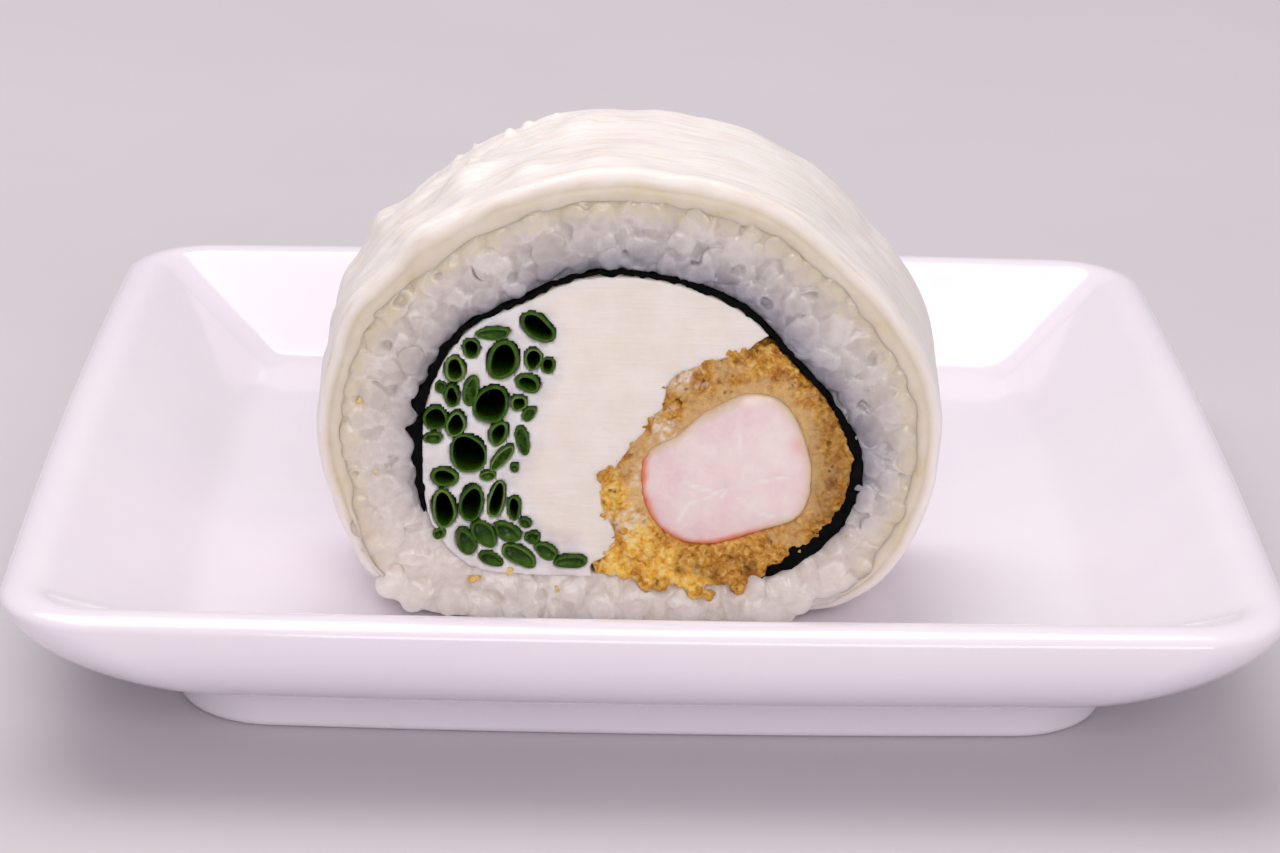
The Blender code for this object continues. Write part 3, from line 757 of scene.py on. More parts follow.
@dataclass(frozen=True)
class RollLayout:
    """Where the layers of the roll lie."""

    floor_height: float = 6.8 * MM
    face_y: float = -28.8 * MM
    length: float = 18.2 * MM
    centre: tuple[float, float] = (-1.2 * MM, 17.0 * MM)
    growth: float = 0.015
    lean: float = 0.5 * MM
    steps: int = 360
    nori_thickness: float = 0.7 * MM
    nori_open: tuple[float, float] = (206.0, 309.0)
    outline_keys: Keys = (
        (-26.3, 16.5), (-25.2, 10.0), (-22.4, 3.6), (-16.5, 0.8), (-2.0, 0.45), (11.0, 0.5),
        (17.6, 1.9), (21.9, 7.5), (23.6, 15.0), (22.3, 22.0), (17.4, 28.9), (9.9, 35.0),
        (-0.5, 37.5), (-9.5, 36.4), (-17.8, 31.9), (-24.2, 25.0))
    nori_keys: Keys = (
        (-18.1, 13.5), (-17.5, 19.4), (-14.6, 24.4), (-10.0, 27.0), (-5.2, 29.1), (1.0, 29.0),
        (7.3, 26.6), (11.3, 22.6), (15.2, 18.0), (16.8, 13.0), (15.0, 8.4), (9.8, 4.0),
        (4.6, 2.6), (-2.0, 3.3), (-8.0, 3.5), (-14.0, 4.2), (-17.3, 8.0))
    crust_keys: Keys = (
        (9.2, 23.6), (12.6, 21.4), (15.4, 17.6), (16.6, 12.6), (14.6, 8.2), (10.4, 4.4),
        (4.6, 2.7), (-0.6, 3.5), (-4.0, 4.6), (-2.6, 7.0), (-3.9, 10.6), (-1.8, 14.7),
        (0.6, 17.6), (1.7, 20.9), (5.4, 22.6))
    prawn_keys: Keys = (
        (-0.3, 14.1), (2.4, 16.1), (4.8, 18.2), (8.3, 19.7), (11.4, 18.4), (13.3, 13.6),
        (12.7, 9.3), (9.4, 7.7), (5.3, 6.5), (2.1, 7.1), (-0.1, 9.8))
    chive_zone_keys: Keys = (
        (-11.6, 30.0), (-10.6, 26.6), (-7.5, 25.9), (-7.1, 21.0), (-8.5, 17.5), (-9.0, 14.4),
        (-9.7, 11.2), (-8.6, 8.2), (-5.2, 6.6), (-4.5, 4.6), (-4.6, 0.0), (-24.0, 0.0), (-24.0, 30.0))

    @property
    def back_y(self) -> float:
        """Where the hind cut face stands."""
        return self.face_y + self.length

    def face(self, side: Side) -> float:
        """Where a cut face stands."""
        return self.face_y if side is Side.FRONT else self.back_y

    def round(self, keys: Keys) -> Points:
        """Read an outline at equal angles round the roll's middle."""
        return at_equal_angles(smooth_outline(keys, 24), self.centre, self.steps)

    def widened(self, outline: Points, share: float) -> Points:
        """Let an outline grow and lean a little towards the roll's back."""
        return outline * (1 + self.growth * share) + np.array((self.lean * share, 0.0))

    def upright(self, outline: Points, y: Any) -> Points:
        """Stand an outline on the dish's floor at some distance from the front."""
        depth = np.broadcast_to(y, len(outline))
        return np.column_stack([outline[:, 0], depth, outline[:, 1] + self.floor_height])

    def flat(self, points: Points) -> Points:
        """Look at points from the front: across, and up from the dish's floor."""
        return np.column_stack([points[:, 0], points[:, 2] - self.floor_height])

    def bearings(self, outline: Points) -> Points:
        """Give each point's direction from the roll's middle, in degrees from +X."""
        away = outline - np.array(self.centre)
        return np.degrees(np.arctan2(away[:, 1], away[:, 0])) % 360.0

    def fillings(self) -> Points:
        """Give the outline of everything inside the nori."""
        return grown(self.round(self.nori_keys), -self.nori_thickness / 2)

    def sheet(self, opening: tuple[float, float]) -> list[int]:
        """Order the points that a sheet covers, from its lower left end over the top."""
        angles = np.arange(self.steps) * 360.0 / self.steps
        held = (angles <= opening[0]) | (angles >= opening[1])
        first = next(i for i in range(self.steps) if held[i] and not held[(i + 1) % self.steps])
        return [(first - step) % self.steps for step in range(int(held.sum()))]

    def bar(self, name: str, outline: Points, spare: float = 0.0) -> Piece:
        """Make a straight bar along the roll, longer than it at both ends by the spare length."""
        shape = bmesh.new()
        ends = (self.face_y - spare, self.back_y + spare)
        loft(shape, [self.upright(outline, y) for y in ends])
        return to_piece(name, shape)

    def depth_behind(self, points: Points) -> Points:
        """Tell how far points lie behind the nearer cut face, negative in front of it."""
        return np.minimum(points[:, 1] - self.face_y, self.back_y - points[:, 1])

    def towards_cut(self, points: Points) -> Points:
        """Give +1 where a point's nearer cut face looks back, -1 where it looks to the front."""
        return np.where(points[:, 1] < (self.face_y + self.back_y) / 2, -1.0, 1.0)


def scatter(rng: random.Random, within: Points, holes: Sequence[Points], spacing: float, margin: float,
            tries: int = 9000) -> Points:
    """Drop seeded places at least a spacing apart.

    Args:
        rng: the seeded source.
        within: outline that holds the places.
        holes: outlines that they keep out of.
        spacing: least distance between two places.
        margin: least distance to every outline, negative to let places stand over the edge.
        tries: how many places are tried.

    Returns:
        The places.
    """
    low, high = within.min(0) + min(0.0, margin), within.max(0) - min(0.0, margin)
    drops = np.array([(rng.uniform(low[0], high[0]), rng.uniform(low[1], high[1])) for _ in range(tries)])
    room = np.where(inside(drops, within), 1.0, -1.0) * way_to(drops, within)
    for hole in holes:
        room = np.minimum(room, np.where(inside(drops, hole), -1.0, 1.0) * way_to(drops, hole))
    kept: list[Points] = []
    for drop in drops[room > margin]:
        if not kept or np.min(np.linalg.norm(np.array(kept) - drop, axis=1)) >= spacing:
            kept.append(drop)
    return np.array(kept)


@dataclass
class CreamWrap:
    """The outer cream sheet, rounded at the cuts, lumpy high on the left and open under the roll."""

    layout: RollLayout
    side: float = 1.9 * MM
    top: float = 2.4 * MM
    end: float = 1.0 * MM
    opening: tuple[float, float] = (215.0, 310.0)
    rounding: float = 1.1 * MM
    inner_rounding: float = 0.06 * MM
    dent: float = 0.35 * MM
    lump: float = 1.4 * MM
    lump_size: float = 4.0 * MM
    lump_bearing: float = 135.0
    lump_spread: float = 32.0
    ripple: float = 0.025 * MM
    fold: float = 0.12 * MM
    nub: float = 1.3 * MM
    crown: float = 0.22 * MM
    unevenness: float = 0.14 * MM
    stations: int = 64

    def depths(self) -> Points:
        """Give the sheet's thickness at every angle, thinner towards its two lower ends."""
        depths = np.zeros(self.layout.steps)
        order = self.layout.sheet(self.opening)
        shares = np.linspace(0.0, 1.0, len(order))
        taper = np.minimum(1.0, np.minimum(shares, 1 - shares) * 12)
        full = self.side + (self.top - self.side) * np.sin(math.pi * shares)
        depths[order] = self.end + (full - self.end) * taper
        return depths

    def relief(self, outline: Points, y: float) -> Points:
        """Give how far the skin stands off its outline: dents, lumps, wrinkles and torn nubs."""
        points = np.column_stack([outline[:, 0], np.full(len(outline), y), outline[:, 1]])
        bearings = self.layout.bearings(outline)
        near = np.exp(-((bearings - self.lump_bearing) / self.lump_spread) ** 2)
        swell = wave(points, self.lump_size)
        along = (y - self.layout.face_y) / self.layout.length
        inward = min(1.0, max(0.0, along * self.layout.length / (2.5 * MM)))
        ripples = wave(points, (3.2 * MM, 0.55 * MM, 3.2 * MM))
        folds = 1 - np.abs(wave(points + 7 * MM, (2.6 * MM, 1.3 * MM, 1.7 * MM)))
        nubs = np.maximum(0.0, wave(points + 3 * MM, 0.85 * MM) - 0.3)
        torn = np.exp(-((bearings - 118.0) / 24.0) ** 2) * max(0.0, along - 0.55) / 0.45
        return (self.dent * np.minimum(0.0, swell) + self.lump * near * np.maximum(0.0, swell)
                + self.ripple * ripples + near * inward * self.fold * (folds ** 4 - 0.4)
                + torn * self.nub * nubs)

    def profile(self) -> list[tuple[float, float, float, float]]:
        """List each ring as place along the roll, outer and inner draw-in, and share of full thickness."""
        front = [(0.0, self.rounding, self.inner_rounding, share) for share in (0.0, 0.25, 0.5, 0.75, 0.92)]
        for angle in np.linspace(0.0, math.pi / 2, 7):
            left = 1 - math.sin(angle)
            along = self.rounding * (1 - math.cos(angle))
            front.append((along, self.rounding * left, self.inner_rounding * left, 1.0))
        middle = np.linspace(self.rounding, self.layout.length - self.rounding, self.stations)[1:-1]
        back = [(self.layout.length - y, out, inn, share) for y, out, inn, share in reversed(front)]
        return front + [(y, 0.0, 0.0, 1.0) for y in middle] + back

    def build(self, outline: Points) -> Piece:
        """Loft the band of the sheet along the roll, with softly uneven cut faces."""
        order = self.layout.sheet(self.opening)
        depths = self.depths()
        shape = bmesh.new()
        layer = shape.verts.layers.float.new("cut")
        rings, cuts = [], []
        for along, outer_in, inner_in, full in self.profile():
            share = along / self.layout.length
            y = self.layout.face_y + along
            inner_wave = 0.35 * MM * wave(self.layout.upright(outline, y), 2.2 * MM)
            outer = grown(outline, self.relief(outline, y) - outer_in)[order]
            inner = grown(outline, inner_in - depths + inner_wave)[order]
            middle = (outer + inner) / 2
            band = np.vstack([middle + (outer - middle) * full, (middle + (inner - middle) * full)[::-1]])
            side = -1.0 if share < 0.5 else 1.0
            edge = math.exp(-min(along, self.layout.length - along) / (0.5 * MM))
            uneven = wave(self.layout.upright(band, y), 2.0 * MM)
            bulge = self.crown * (1 - full ** 2) + self.unevenness * uneven * edge
            rings.append(self.layout.upright(self.layout.widened(band, share), y + side * bulge))
            cut = 1.0 if full < 1.0 else max(0.0, outer_in / self.rounding * 1.6 - 0.6)
            cuts.append(np.full(len(band), cut))
        corners = loft(shape, rings)
        for row, values in zip(corners, cuts):
            for corner, value in zip(row, values):
                corner[layer] = value
        return dress(to_piece("cream_wrap", shape), CREAM, "wrap", "wrap")


@dataclass
class RiceRing:
    """The ring of rice: a plain core with true-size grains melted together at both cut faces."""

    layout: RollLayout
    grain_width: float = 2.35 * MM
    grain_lengths: tuple[float, float] = (3.6 * MM, 5.4 * MM)
    core_depth: float = 2.2 * MM
    near: float = 0.42 * MM
    slab: float = 3.0 * MM
    # middle of each layer behind the cut, spacing of its grains, and how far they keep from the edges
    layers: tuple[tuple[float, float, float], ...] = (
        (0.9 * MM, 1.5 * MM, 0.6 * MM), (0.55 * MM, 1.9 * MM, 0.7 * MM), (0.1 * MM, 6.5 * MM, 1.2 * MM))
    cut_heights: tuple[float, float] = (-0.16 * MM, 0.13 * MM)
    spring: float = 0.14
    seam_depth: float = 0.06 * MM
    seam_width: float = 0.2 * MM
    pit_depth: float = 0.5 * MM
    recess: float = 0.55 * MM
    recess_width: float = 1.1 * MM
    slump: float = 0.75 * MM
    slump_height: float = 3.4 * MM
    tucked: float = 0.04 * MM
    # how far from the nori the painted shade on the rice reaches
    shade_reach: float = 2.5 * MM
    under_wrap: float = 0.45 * MM
    past_opening: float = 0.25 * MM
    over_nori: float = 0.1 * MM
    voxel: float = 0.186 * MM
    seeds: tuple[int, int] = (21, 22)

    def edges(self, outline: Points, nori_line: Points, wrap_depths: Points) -> tuple[Points, Points]:
        """Give the ring's outer edge, a little under the wrap, and its hole, a little over the nori."""
        drawn_in = np.where(wrap_depths > 0, wrap_depths - self.under_wrap, -self.past_opening)
        half = self.layout.nori_thickness / 2
        beside = np.full(self.layout.steps, -half - self.over_nori)
        beside[self.layout.sheet(self.layout.nori_open)] = half - self.over_nori
        return grown(outline, -drawn_in), grown(nori_line, beside)

    def core(self, outer: Points, hole: Points) -> Piece:
        """Make the ring behind the grains."""
        shape = bmesh.new()
        near, far = self.core_depth, self.layout.length - self.core_depth
        rings = []
        for along in np.linspace(near, far, 8):
            lumps = 0.15 * MM * wave(self.layout.upright(outer, along), 2.4 * MM)
            wide = self.layout.widened(grown(outer, lumps - 0.1 * MM), along / self.layout.length)
            rings.append(self.layout.upright(wide, self.layout.face_y + along))
        rings += [self.layout.upright(hole, self.layout.face_y + along) for along in (far, near)]
        loft(shape, np.stack(rings, 1), cyclic=True)
        piece = to_piece("rice_core", shape)
        mark(piece, "tone", np.full(len(piece.data.vertices), 0.5))
        # The core gets a fixed share of the painted shade.
        mark(piece, "warm", np.full(len(piece.data.vertices), 0.6))
        mark(piece, "smeared", np.full(len(piece.data.vertices), 0.0))
        return dress(piece, RICE, "rice", "rice")

    def grains(self, side: Side, outer: Points, hole: Points, seed: int) -> Piece:
        """Melt loose grains and a thin slab into the rice of one cut face.

        Args:
            side: which cut face.
            outer: outer edge of the rice.
            hole: its inner edge, at the nori.
            seed: start of the random draws.

        Returns:
            The dressed piece.
        """
        rng = random.Random(seed)
        face = self.layout.face(side)
        inward = -side.value
        shape = bmesh.new()
        rings = []
        uneven = grown(outer, 0.22 * MM * wave(self.layout.upright(outer, face), 2.6 * MM, 2))
        for along, edge in ((self.near, uneven), (self.slab, uneven), (self.slab, hole), (self.near, hole)):
            least, most = (0.2, 0.3 if edge is uneven else 1.0) if along == self.near else (1.0, 1.0)
            shallow = np.clip(edge[:, 1] / self.slump_height, least, most)
            rings.append(self.layout.upright(edge, face + inward * along * shallow))
        loft(shape, np.stack(rings, 1), cyclic=True)
        bmesh.ops.recalc_face_normals(shape, faces=shape.faces)
        centres = []
        for depth, spacing, margin in self.layers:
            for x, z in scatter(rng, outer, (hole,), spacing, margin):
                length = rng.uniform(*self.grain_lengths)
                width = self.grain_width * rng.uniform(0.8, 1.12)
                room = min(way_to(np.array([(x, z)]), edge)[0] for edge in (outer, hole))
                dip = rng.uniform(0.25, 1.3) if room > 1.5 * MM else rng.uniform(0.0, 0.35) + math.pi / 2
                y = face + inward * (depth + rng.uniform(-0.35, 0.35) * MM)
                where = Matrix.Translation((x, y, z + self.layout.floor_height))
                spin = Matrix.Rotation(rng.uniform(0, math.tau), 4, "Y") @ Matrix.Rotation(dip, 4, "X")
                size = Matrix.Diagonal((width, width * rng.uniform(0.8, 1.0), length, 1.0))
                bead = bmesh.ops.create_uvsphere(shape, u_segments=10, v_segments=7, radius=0.5)["verts"]
                bmesh.ops.transform(shape, matrix=where @ spin @ size, verts=bead)
                centres.append((Vector((x, y, z + self.layout.floor_height)), rng.random(),
                                rng.uniform(*self.cut_heights)))
        piece = fused(to_piece(f"rice_{side.name.lower()}_grains", shape), self.voxel, 1)
        points = places(piece)
        owner, apart = self.owners(points, centres)
        from_nori, to_edge = self.across(points, outer, hole)
        heights = np.array([height for _, _, height in centres])[owner]
        out = (points[:, 1] - face) * side.value
        limit = (heights + 0.1 * MM * wave(points, 1.6 * MM, 2)
                 - self.recess * np.exp(-(from_nori / self.recess_width) ** 2)
                 - self.tucked * np.clip(1.4 - to_edge / (0.45 * MM), 0.0, 1.0))
        out = np.where(out > limit, limit + (out - limit) * self.spring, out)
        pits = np.maximum(0.0, wave(points + 11 * MM, 1.9 * MM) - 0.5) * 7.0
        seam = np.exp(-(apart / self.seam_width) ** 2)
        front = np.clip(1.0 + out / (1.2 * MM), 0.0, 1.0)
        up = points[:, 2] - self.layout.floor_height
        slumped = self.slump * np.clip(1 - up / self.slump_height, 0.0, 1.0) ** 1.5
        out += front * (slumped - self.seam_depth * seam - self.pit_depth * np.minimum(1.0, pits))
        points[:, 1] = face + side.value * out
        share = 0.0 if side is Side.FRONT else 1.0
        wide = self.layout.widened(self.layout.flat(points), share)
        points[:, 0], points[:, 2] = wide[:, 0], wide[:, 1] + self.layout.floor_height
        points[:, 2] = np.maximum(points[:, 2] - 0.3 * slumped, self.layout.floor_height + 0.08 * MM)
        move_to(piece, points)
        soften(piece, 2, 0.35)
        tones = 0.2 + 0.6 * np.array([tone for _, tone, _ in centres])[owner] + 0.3 * seam
        mottle = wave(points, 0.8 * MM, 2)
        low = np.clip(1.75 - up / (4.0 * MM), 0.0, 1.0)
        mark(piece, "tone", np.clip(tones + 0.3 * mottle + 0.2 * low, 0.0, 1.0))
        # Painted shade: darker bluish grey near the nori, more so high up and towards the right; warm is
        # the share left unshaded.
        shade = (np.clip((up - 5.0 * MM) / (8.0 * MM), 0.12, 1.0)
                 * np.clip(1 + points[:, 0] / (48.0 * MM), 0.5, 1.0))
        mark(piece, "warm", np.clip(1 - 1.45 * shade * np.exp(-from_nori / self.shade_reach), 0.0, 1.0))
        mark(piece, "smeared", (1 - low) * np.clip(1.1 - to_edge / (1.9 * MM) + 0.5 * mottle, 0.0, 0.85))
        return dress(piece, RICE, "rice", "rice")

    def owners(self, points: Points,
               centres: Sequence[tuple[Vector, float, float]]) -> tuple[Points, Points]:
        """Find each point's nearest grain, and how much further off the next one is."""
        tree = kdtree.KDTree(len(centres))
        for index, (centre, _, _) in enumerate(centres):
            tree.insert(centre, index)
        tree.balance()
        warp = np.column_stack([wave(points + shift * MM, 1.2 * MM) for shift in (0, 5, 9)]) * 0.45 * MM
        found = [tree.find_n(Vector(point), 2) for point in points + warp]
        return (np.array([pair[0][1] for pair in found]),
                np.array([pair[1][2] - pair[0][2] for pair in found]))

    def across(self, points: Points, outer: Points, hole: Points) -> tuple[Points, Points]:
        """Measure outwards how far points lie from the nori and from the rice's edge."""
        flat = self.layout.flat(points)
        index = (self.layout.bearings(flat) * self.layout.steps / 360.0).astype(int) % self.layout.steps
        centre = np.array(self.layout.centre)
        radius = np.linalg.norm(flat - centre, axis=1)
        return (np.maximum(0.0, radius - np.linalg.norm(hole - centre, axis=1)[index]),
                np.maximum(0.0, np.linalg.norm(outer - centre, axis=1)[index] - radius))


@dataclass
class NoriSheet:
    """The dark seaweed round the fillings, ragged at its cut edges and swollen low on the right."""

    layout: RollLayout
    inset: float = 0.1 * MM
    swell: float = 0.42 * MM
    swell_bearing: float = 324.0
    swell_spread: float = 22.0
    thinner: float = 0.19 * MM
    tear: float = 1.1 * MM
    tear_bearing: float = 182.0
    tear_spread: float = 22.0

    def build(self) -> Piece:
        """Loft the ragged band along the roll."""
        layout = self.layout
        line = layout.round(layout.nori_keys)
        order = layout.sheet(layout.nori_open)
        bearings = layout.bearings(line)
        turn = np.abs(bearings - self.swell_bearing)
        away = np.minimum(turn, 360 - turn)
        thin = self.thinner * np.maximum(np.exp(-((bearings - 110.0) / 65.0) ** 2),
                                         0.9 * np.exp(-((bearings - 18.0) / 30.0) ** 2))
        half = layout.nori_thickness / 2 - thin + self.swell * np.exp(-(away / self.swell_spread) ** 2)
        torn = self.tear * np.exp(-((bearings - self.tear_bearing) / self.tear_spread) ** 2)
        counts = np.arange(len(order))
        taper = np.ones(layout.steps)
        taper[order] = np.minimum(1.0, np.minimum(counts, counts[::-1]) / 9 + 0.15)
        shape = bmesh.new()
        rings = []
        ends = ((0.0, 0.0), (0.0, 0.5), (0.0, 1.0))
        middle = tuple((share, 1.0) for share in np.linspace(0.03, 0.97, 22))
        for share, full in ends + middle + tuple((1.0, part) for _, part in reversed(ends)):
            y = layout.face_y + self.inset + (layout.length - 2 * self.inset) * share
            rough = wave(layout.upright(line, y), 0.75 * MM, 2)
            bend = wave(layout.upright(line, y * 0.2), 2.4 * MM)
            flaps = torn * np.maximum(0.0, 1.3 * wave(layout.upright(line, y * 0.5), 1.3 * MM) + 0.12)
            outer = grown(line, (half + 0.24 * MM * rough + 0.12 * MM * bend + flaps) * full * taper)[order]
            inner = grown(line, (0.24 * MM * rough - half + 0.1 * MM * bend) * full * taper)[order]
            band = np.vstack([outer, inner[::-1]])
            edge = max(0.0, 1 - min(share, 1 - share) / 0.03)
            side = -1.0 if share < 0.5 else 1.0
            ragged = 0.4 * MM * wave(layout.upright(band, y), 0.9 * MM, 2) * edge
            rings.append(layout.upright(band, y + side * ragged))
        loft(shape, rings)
        return dress(to_piece("nori_sheet", shape), NORI, "nori", "nori")


@dataclass
class CheeseBlock:
    """The cream cheese: the block in the middle, and the moist part of it that holds the chives."""

    layout: RollLayout
    voxel: float = 0.2 * MM
    overlap: float = 0.35 * MM
    spread: float = 0.12 * MM
    crumple: float = 0.2 * MM
    swell: float = 0.16 * MM
    knife_wave: float = 0.06 * MM
    proud: float = 0.12 * MM

    def build(self, fillings: Points, zone: Points, crust: Points,
              sunk: Callable[[Points], Points]) -> Piece:
        """Cut the cheese out, round its edges and let its faces swell a little.

        Args:
            fillings: outline of everything inside the nori.
            zone: outline round the chives.
            crust: outline of the crust.
            sunk: gives how far the cheese draws back where a chive stands open.

        Returns:
            The dressed piece, which stands for the cheese and for what fills the chives' bundle.
        """
        block = self.layout.bar("cheese_block", grown(fillings, self.spread))
        gap = np.where(inside(crust, fillings), way_to(crust, fillings), 0.0)
        reach = np.interp(gap, (0.4 * MM, 1.6 * MM), (0.9 * MM, -self.overlap))
        combined(block, "DIFFERENCE", self.layout.bar("room", grown(crust, reach), MM))
        largest(fused(block, self.voxel, 2))
        points = places(block)
        flat = self.layout.flat(points)
        way = np.concatenate([way_to(part, zone) for part in np.array_split(flat, 4)])
        way *= np.where(inside(flat, zone), 1.0, -1.0)
        moist = np.clip(0.55 + way / (1.4 * MM) + 0.25 * wave(points, 1.5 * MM), 0.0, 1.0)
        near = np.exp(-np.maximum(0.0, self.layout.depth_behind(points)) / (0.8 * MM))
        swell = (self.swell * wave(points, 5.0 * MM)
                 + self.knife_wave * wave(points, (4.0 * MM, 1.0 * MM, 0.9 * MM)))
        swell += self.proud + moist * self.crumple * wave(points, 1.2 * MM, 2) - sunk(flat)
        points[:, 1] += self.layout.towards_cut(points) * near * swell
        move_to(block, points)
        mark(block, "moist", moist)
        return dress(block, CHEESE, "cream_cheese", "cream_cheese", "chives")


@dataclass
class ChiveBundle:
    """The chives, each a bent tube with an open end."""

    layout: RollLayout
    wall: float = 0.3 * MM
    bore_depth: float = 4.5 * MM
    proud: tuple[float, float] = (0.1 * MM, 0.45 * MM)
    # painted light on the lower inner wall near each bore's opening
    painted_floor_light: float = 0.3
    sides: int = 26
    seed: int = 7
    # across, up, width and height in millimetres, lean in degrees, and look of the cut end
    stalks: tuple[tuple[float, float, float, float, float, Bore], ...] = (
        (-8.8, 24.8, 3.1, 2.1, -40, Bore.HOLLOW), (-12.3, 24.3, 2.8, 1.1, 8, Bore.SOFT),
        (-14.0, 23.0, 1.4, 1.7, 0, Bore.HOLLOW), (-11.5, 22.0, 2.6, 3.3, -15, Bore.HOLLOW),
        (-15.3, 21.2, 1.7, 2.2, 0, Bore.HOLLOW), (-9.1, 22.2, 1.4, 2.0, 0, Bore.HOLLOW),
        (-7.95, 21.7, 1.1, 1.5, -10, Bore.HOLLOW), (-9.5, 20.2, 2.0, 1.5, -20, Bore.HOLLOW),
        (-16.4, 19.7, 0.9, 1.2, 15, Bore.SOFT), (-15.5, 19.0, 1.2, 1.9, 0, Bore.HOLLOW),
        (-14.0, 19.4, 1.3, 2.5, -8, Bore.GLASSY), (-12.4, 18.3, 2.6, 3.3, -25, Bore.HOLLOW),
        (-10.2, 18.5, 1.3, 1.5, 0, Bore.HOLLOW), (-9.4, 17.6, 0.9, 1.5, -35, Bore.SOFT),
        (-16.8, 17.1, 1.9, 2.1, 0, Bore.HOLLOW), (-15.2, 16.6, 1.5, 2.2, -10, Bore.HOLLOW),
        (-17.0, 15.4, 1.5, 1.0, 0, Bore.SOFT), (-11.8, 15.9, 1.5, 2.1, -25, Bore.HOLLOW),
        (-9.9, 15.3, 1.1, 2.6, 10, Bore.GLASSY), (-11.5, 13.9, 1.1, 2.6, -38, Bore.GLASSY),
        (-14.2, 14.1, 2.8, 3.3, 15, Bore.HOLLOW), (-10.5, 13.0, 0.7, 0.8, 0, Bore.SOFT),
        (-12.6, 12.3, 1.3, 0.9, 0, Bore.SOFT), (-16.1, 12.1, 2.1, 1.8, 0, Bore.HOLLOW),
        (-16.1, 9.4, 2.0, 3.2, 8, Bore.HOLLOW), (-13.9, 9.9, 1.9, 3.2, -5, Bore.HOLLOW),
        (-11.9, 10.2, 1.4, 3.2, -10, Bore.HOLLOW), (-10.5, 9.6, 1.1, 2.1, 5, Bore.HOLLOW),
        (-16.5, 7.2, 1.0, 1.0, 0, Bore.SOFT), (-12.9, 7.3, 1.6, 2.8, 38, Bore.SOFT),
        (-11.0, 7.5, 2.5, 1.4, -25, Bore.SOFT), (-9.6, 8.3, 1.1, 0.8, -30, Bore.SOFT),
        (-9.0, 7.0, 1.3, 1.1, 20, Bore.SOFT), (-14.3, 6.6, 1.5, 2.5, 25, Bore.SOFT),
        (-10.1, 5.5, 2.9, 1.6, -30, Bore.SOFT), (-12.3, 5.1, 2.1, 1.2, -25, Bore.SOFT),
        (-7.9, 5.9, 2.1, 1.2, -25, Bore.SOFT), (-5.9, 5.0, 2.6, 1.3, 5, Bore.SOFT))

    def stalk(self, shape: bmesh.types.BMesh, layer: Any, rng: random.Random,
              row: tuple[float, float, float, float, float, Bore]) -> None:
        """Loft one chive from the bottom of its front bore, over its wall, to that of its hind bore."""
        x, z, width, height, lean, bore = row
        turns = np.arange(self.sides) * math.tau / self.sides
        shape_wave = (1 + 0.07 * np.sin(2 * turns + rng.uniform(0, 6))
                      + 0.05 * np.sin(3 * turns + rng.uniform(0, 6)))
        circle = np.column_stack([np.cos(turns), np.sin(turns)]) * shape_wave[:, None]
        half = np.array((width, height)) / 2 * MM
        tilt = math.radians(lean)
        spin = np.array(((math.cos(tilt), math.sin(tilt)), (-math.sin(tilt), math.cos(tilt))))
        wall = min(self.wall * rng.uniform(0.75, 1.25), min(half) * 0.42)
        depth = {Bore.HOLLOW: self.bore_depth, Bore.GLASSY: 0.5 * MM, Bore.SOFT: 0.16 * MM}[bore]
        # Colour values: the low ones deep in the bore are painted shade, darkest at the bottom of an open
        # bore.
        tone = {Bore.HOLLOW: 0.0, Bore.GLASSY: 0.35, Bore.SOFT: 0.5}[bore]
        narrow = min(half) if bore is Bore.HOLLOW else wall * 2.2
        lip = rng.uniform(0.66, 0.92) if bore is Bore.SOFT else rng.uniform(0.7, 1.0)
        ring_plan = ((-narrow, depth, tone), (-(narrow + wall) / 2, depth * 0.85, tone * 0.9),
                     (-wall * 1.15, depth * 0.35, 0.12 + tone * 0.7), (-wall * 1.05, depth * 0.12, 0.42),
                     (-wall * 0.9, 0.06 * MM, 0.62), (-wall * 0.6, 0.0, lip), (-wall * 0.2, 0.03 * MM, lip),
                     (0.0, 0.16 * MM, 0.7), (0.02 * MM, 0.5 * MM, 0.6), (0.0, 3.0 * MM, 0.55))
        sag = np.array((rng.uniform(-0.2, 0.2), rng.uniform(-0.2, 0.2))) * MM
        rings, tones = [], []
        for side in (Side.FRONT, Side.BACK):
            out = rng.uniform(*self.proud)
            slant = np.array((rng.uniform(-0.16, 0.16), rng.uniform(-0.16, 0.16)))
            nicks = 0.12 * MM * rng.uniform(0.2, 1.0) * np.sin(3 * turns + rng.uniform(0, 6))
            plan = ring_plan if side is Side.FRONT else tuple(reversed(ring_plan))
            for step, depth_in, value in plan:
                scale = np.maximum(half + step, 0.08 * MM)
                outline = (circle * scale) @ spin
                y = self.layout.face(side) + side.value * (out - depth_in) + outline @ slant + nicks
                middle = np.array((x, z)) * MM + (sag if depth_in > MM else 0)
                rings.append(self.layout.upright(outline + middle, y))
                # Painted light: near the opening, the lower side of the bore's wall is lightened as if lit
                # from above.
                in_bore = value < 0.6 and depth_in < 0.5 * self.bore_depth
                lit = np.clip(-outline[:, 1] / np.abs(outline[:, 1]).max(), 0.0, 1.0)
                tones.append(value + (self.painted_floor_light * lit if in_bore else np.zeros(self.sides)))
        for row_corners, values in zip(loft(shape, rings), tones):
            for corner, value in zip(row_corners, values):
                corner[layer] = value

    def sunk(self, flat: Points) -> Points:
        """Give how far the cheese draws back at each point, so that the stalks stand open."""
        deepest = np.zeros(len(flat))
        for x, z, width, height, lean, bore in self.stalks:
            tilt = math.radians(lean)
            away = (flat - np.array((x, z)) * MM) @ np.array(((math.cos(tilt), -math.sin(tilt)),
                                                             (math.sin(tilt), math.cos(tilt))))
            reach = np.linalg.norm(away / (np.array((width, height)) / 2 * MM), axis=1)
            depth = (self.bore_depth + MM) if bore is Bore.HOLLOW else 1.2 * MM
            deepest = np.maximum(deepest, depth * np.clip((1.06 - reach) / 0.16, 0.0, 1.0))
        return deepest

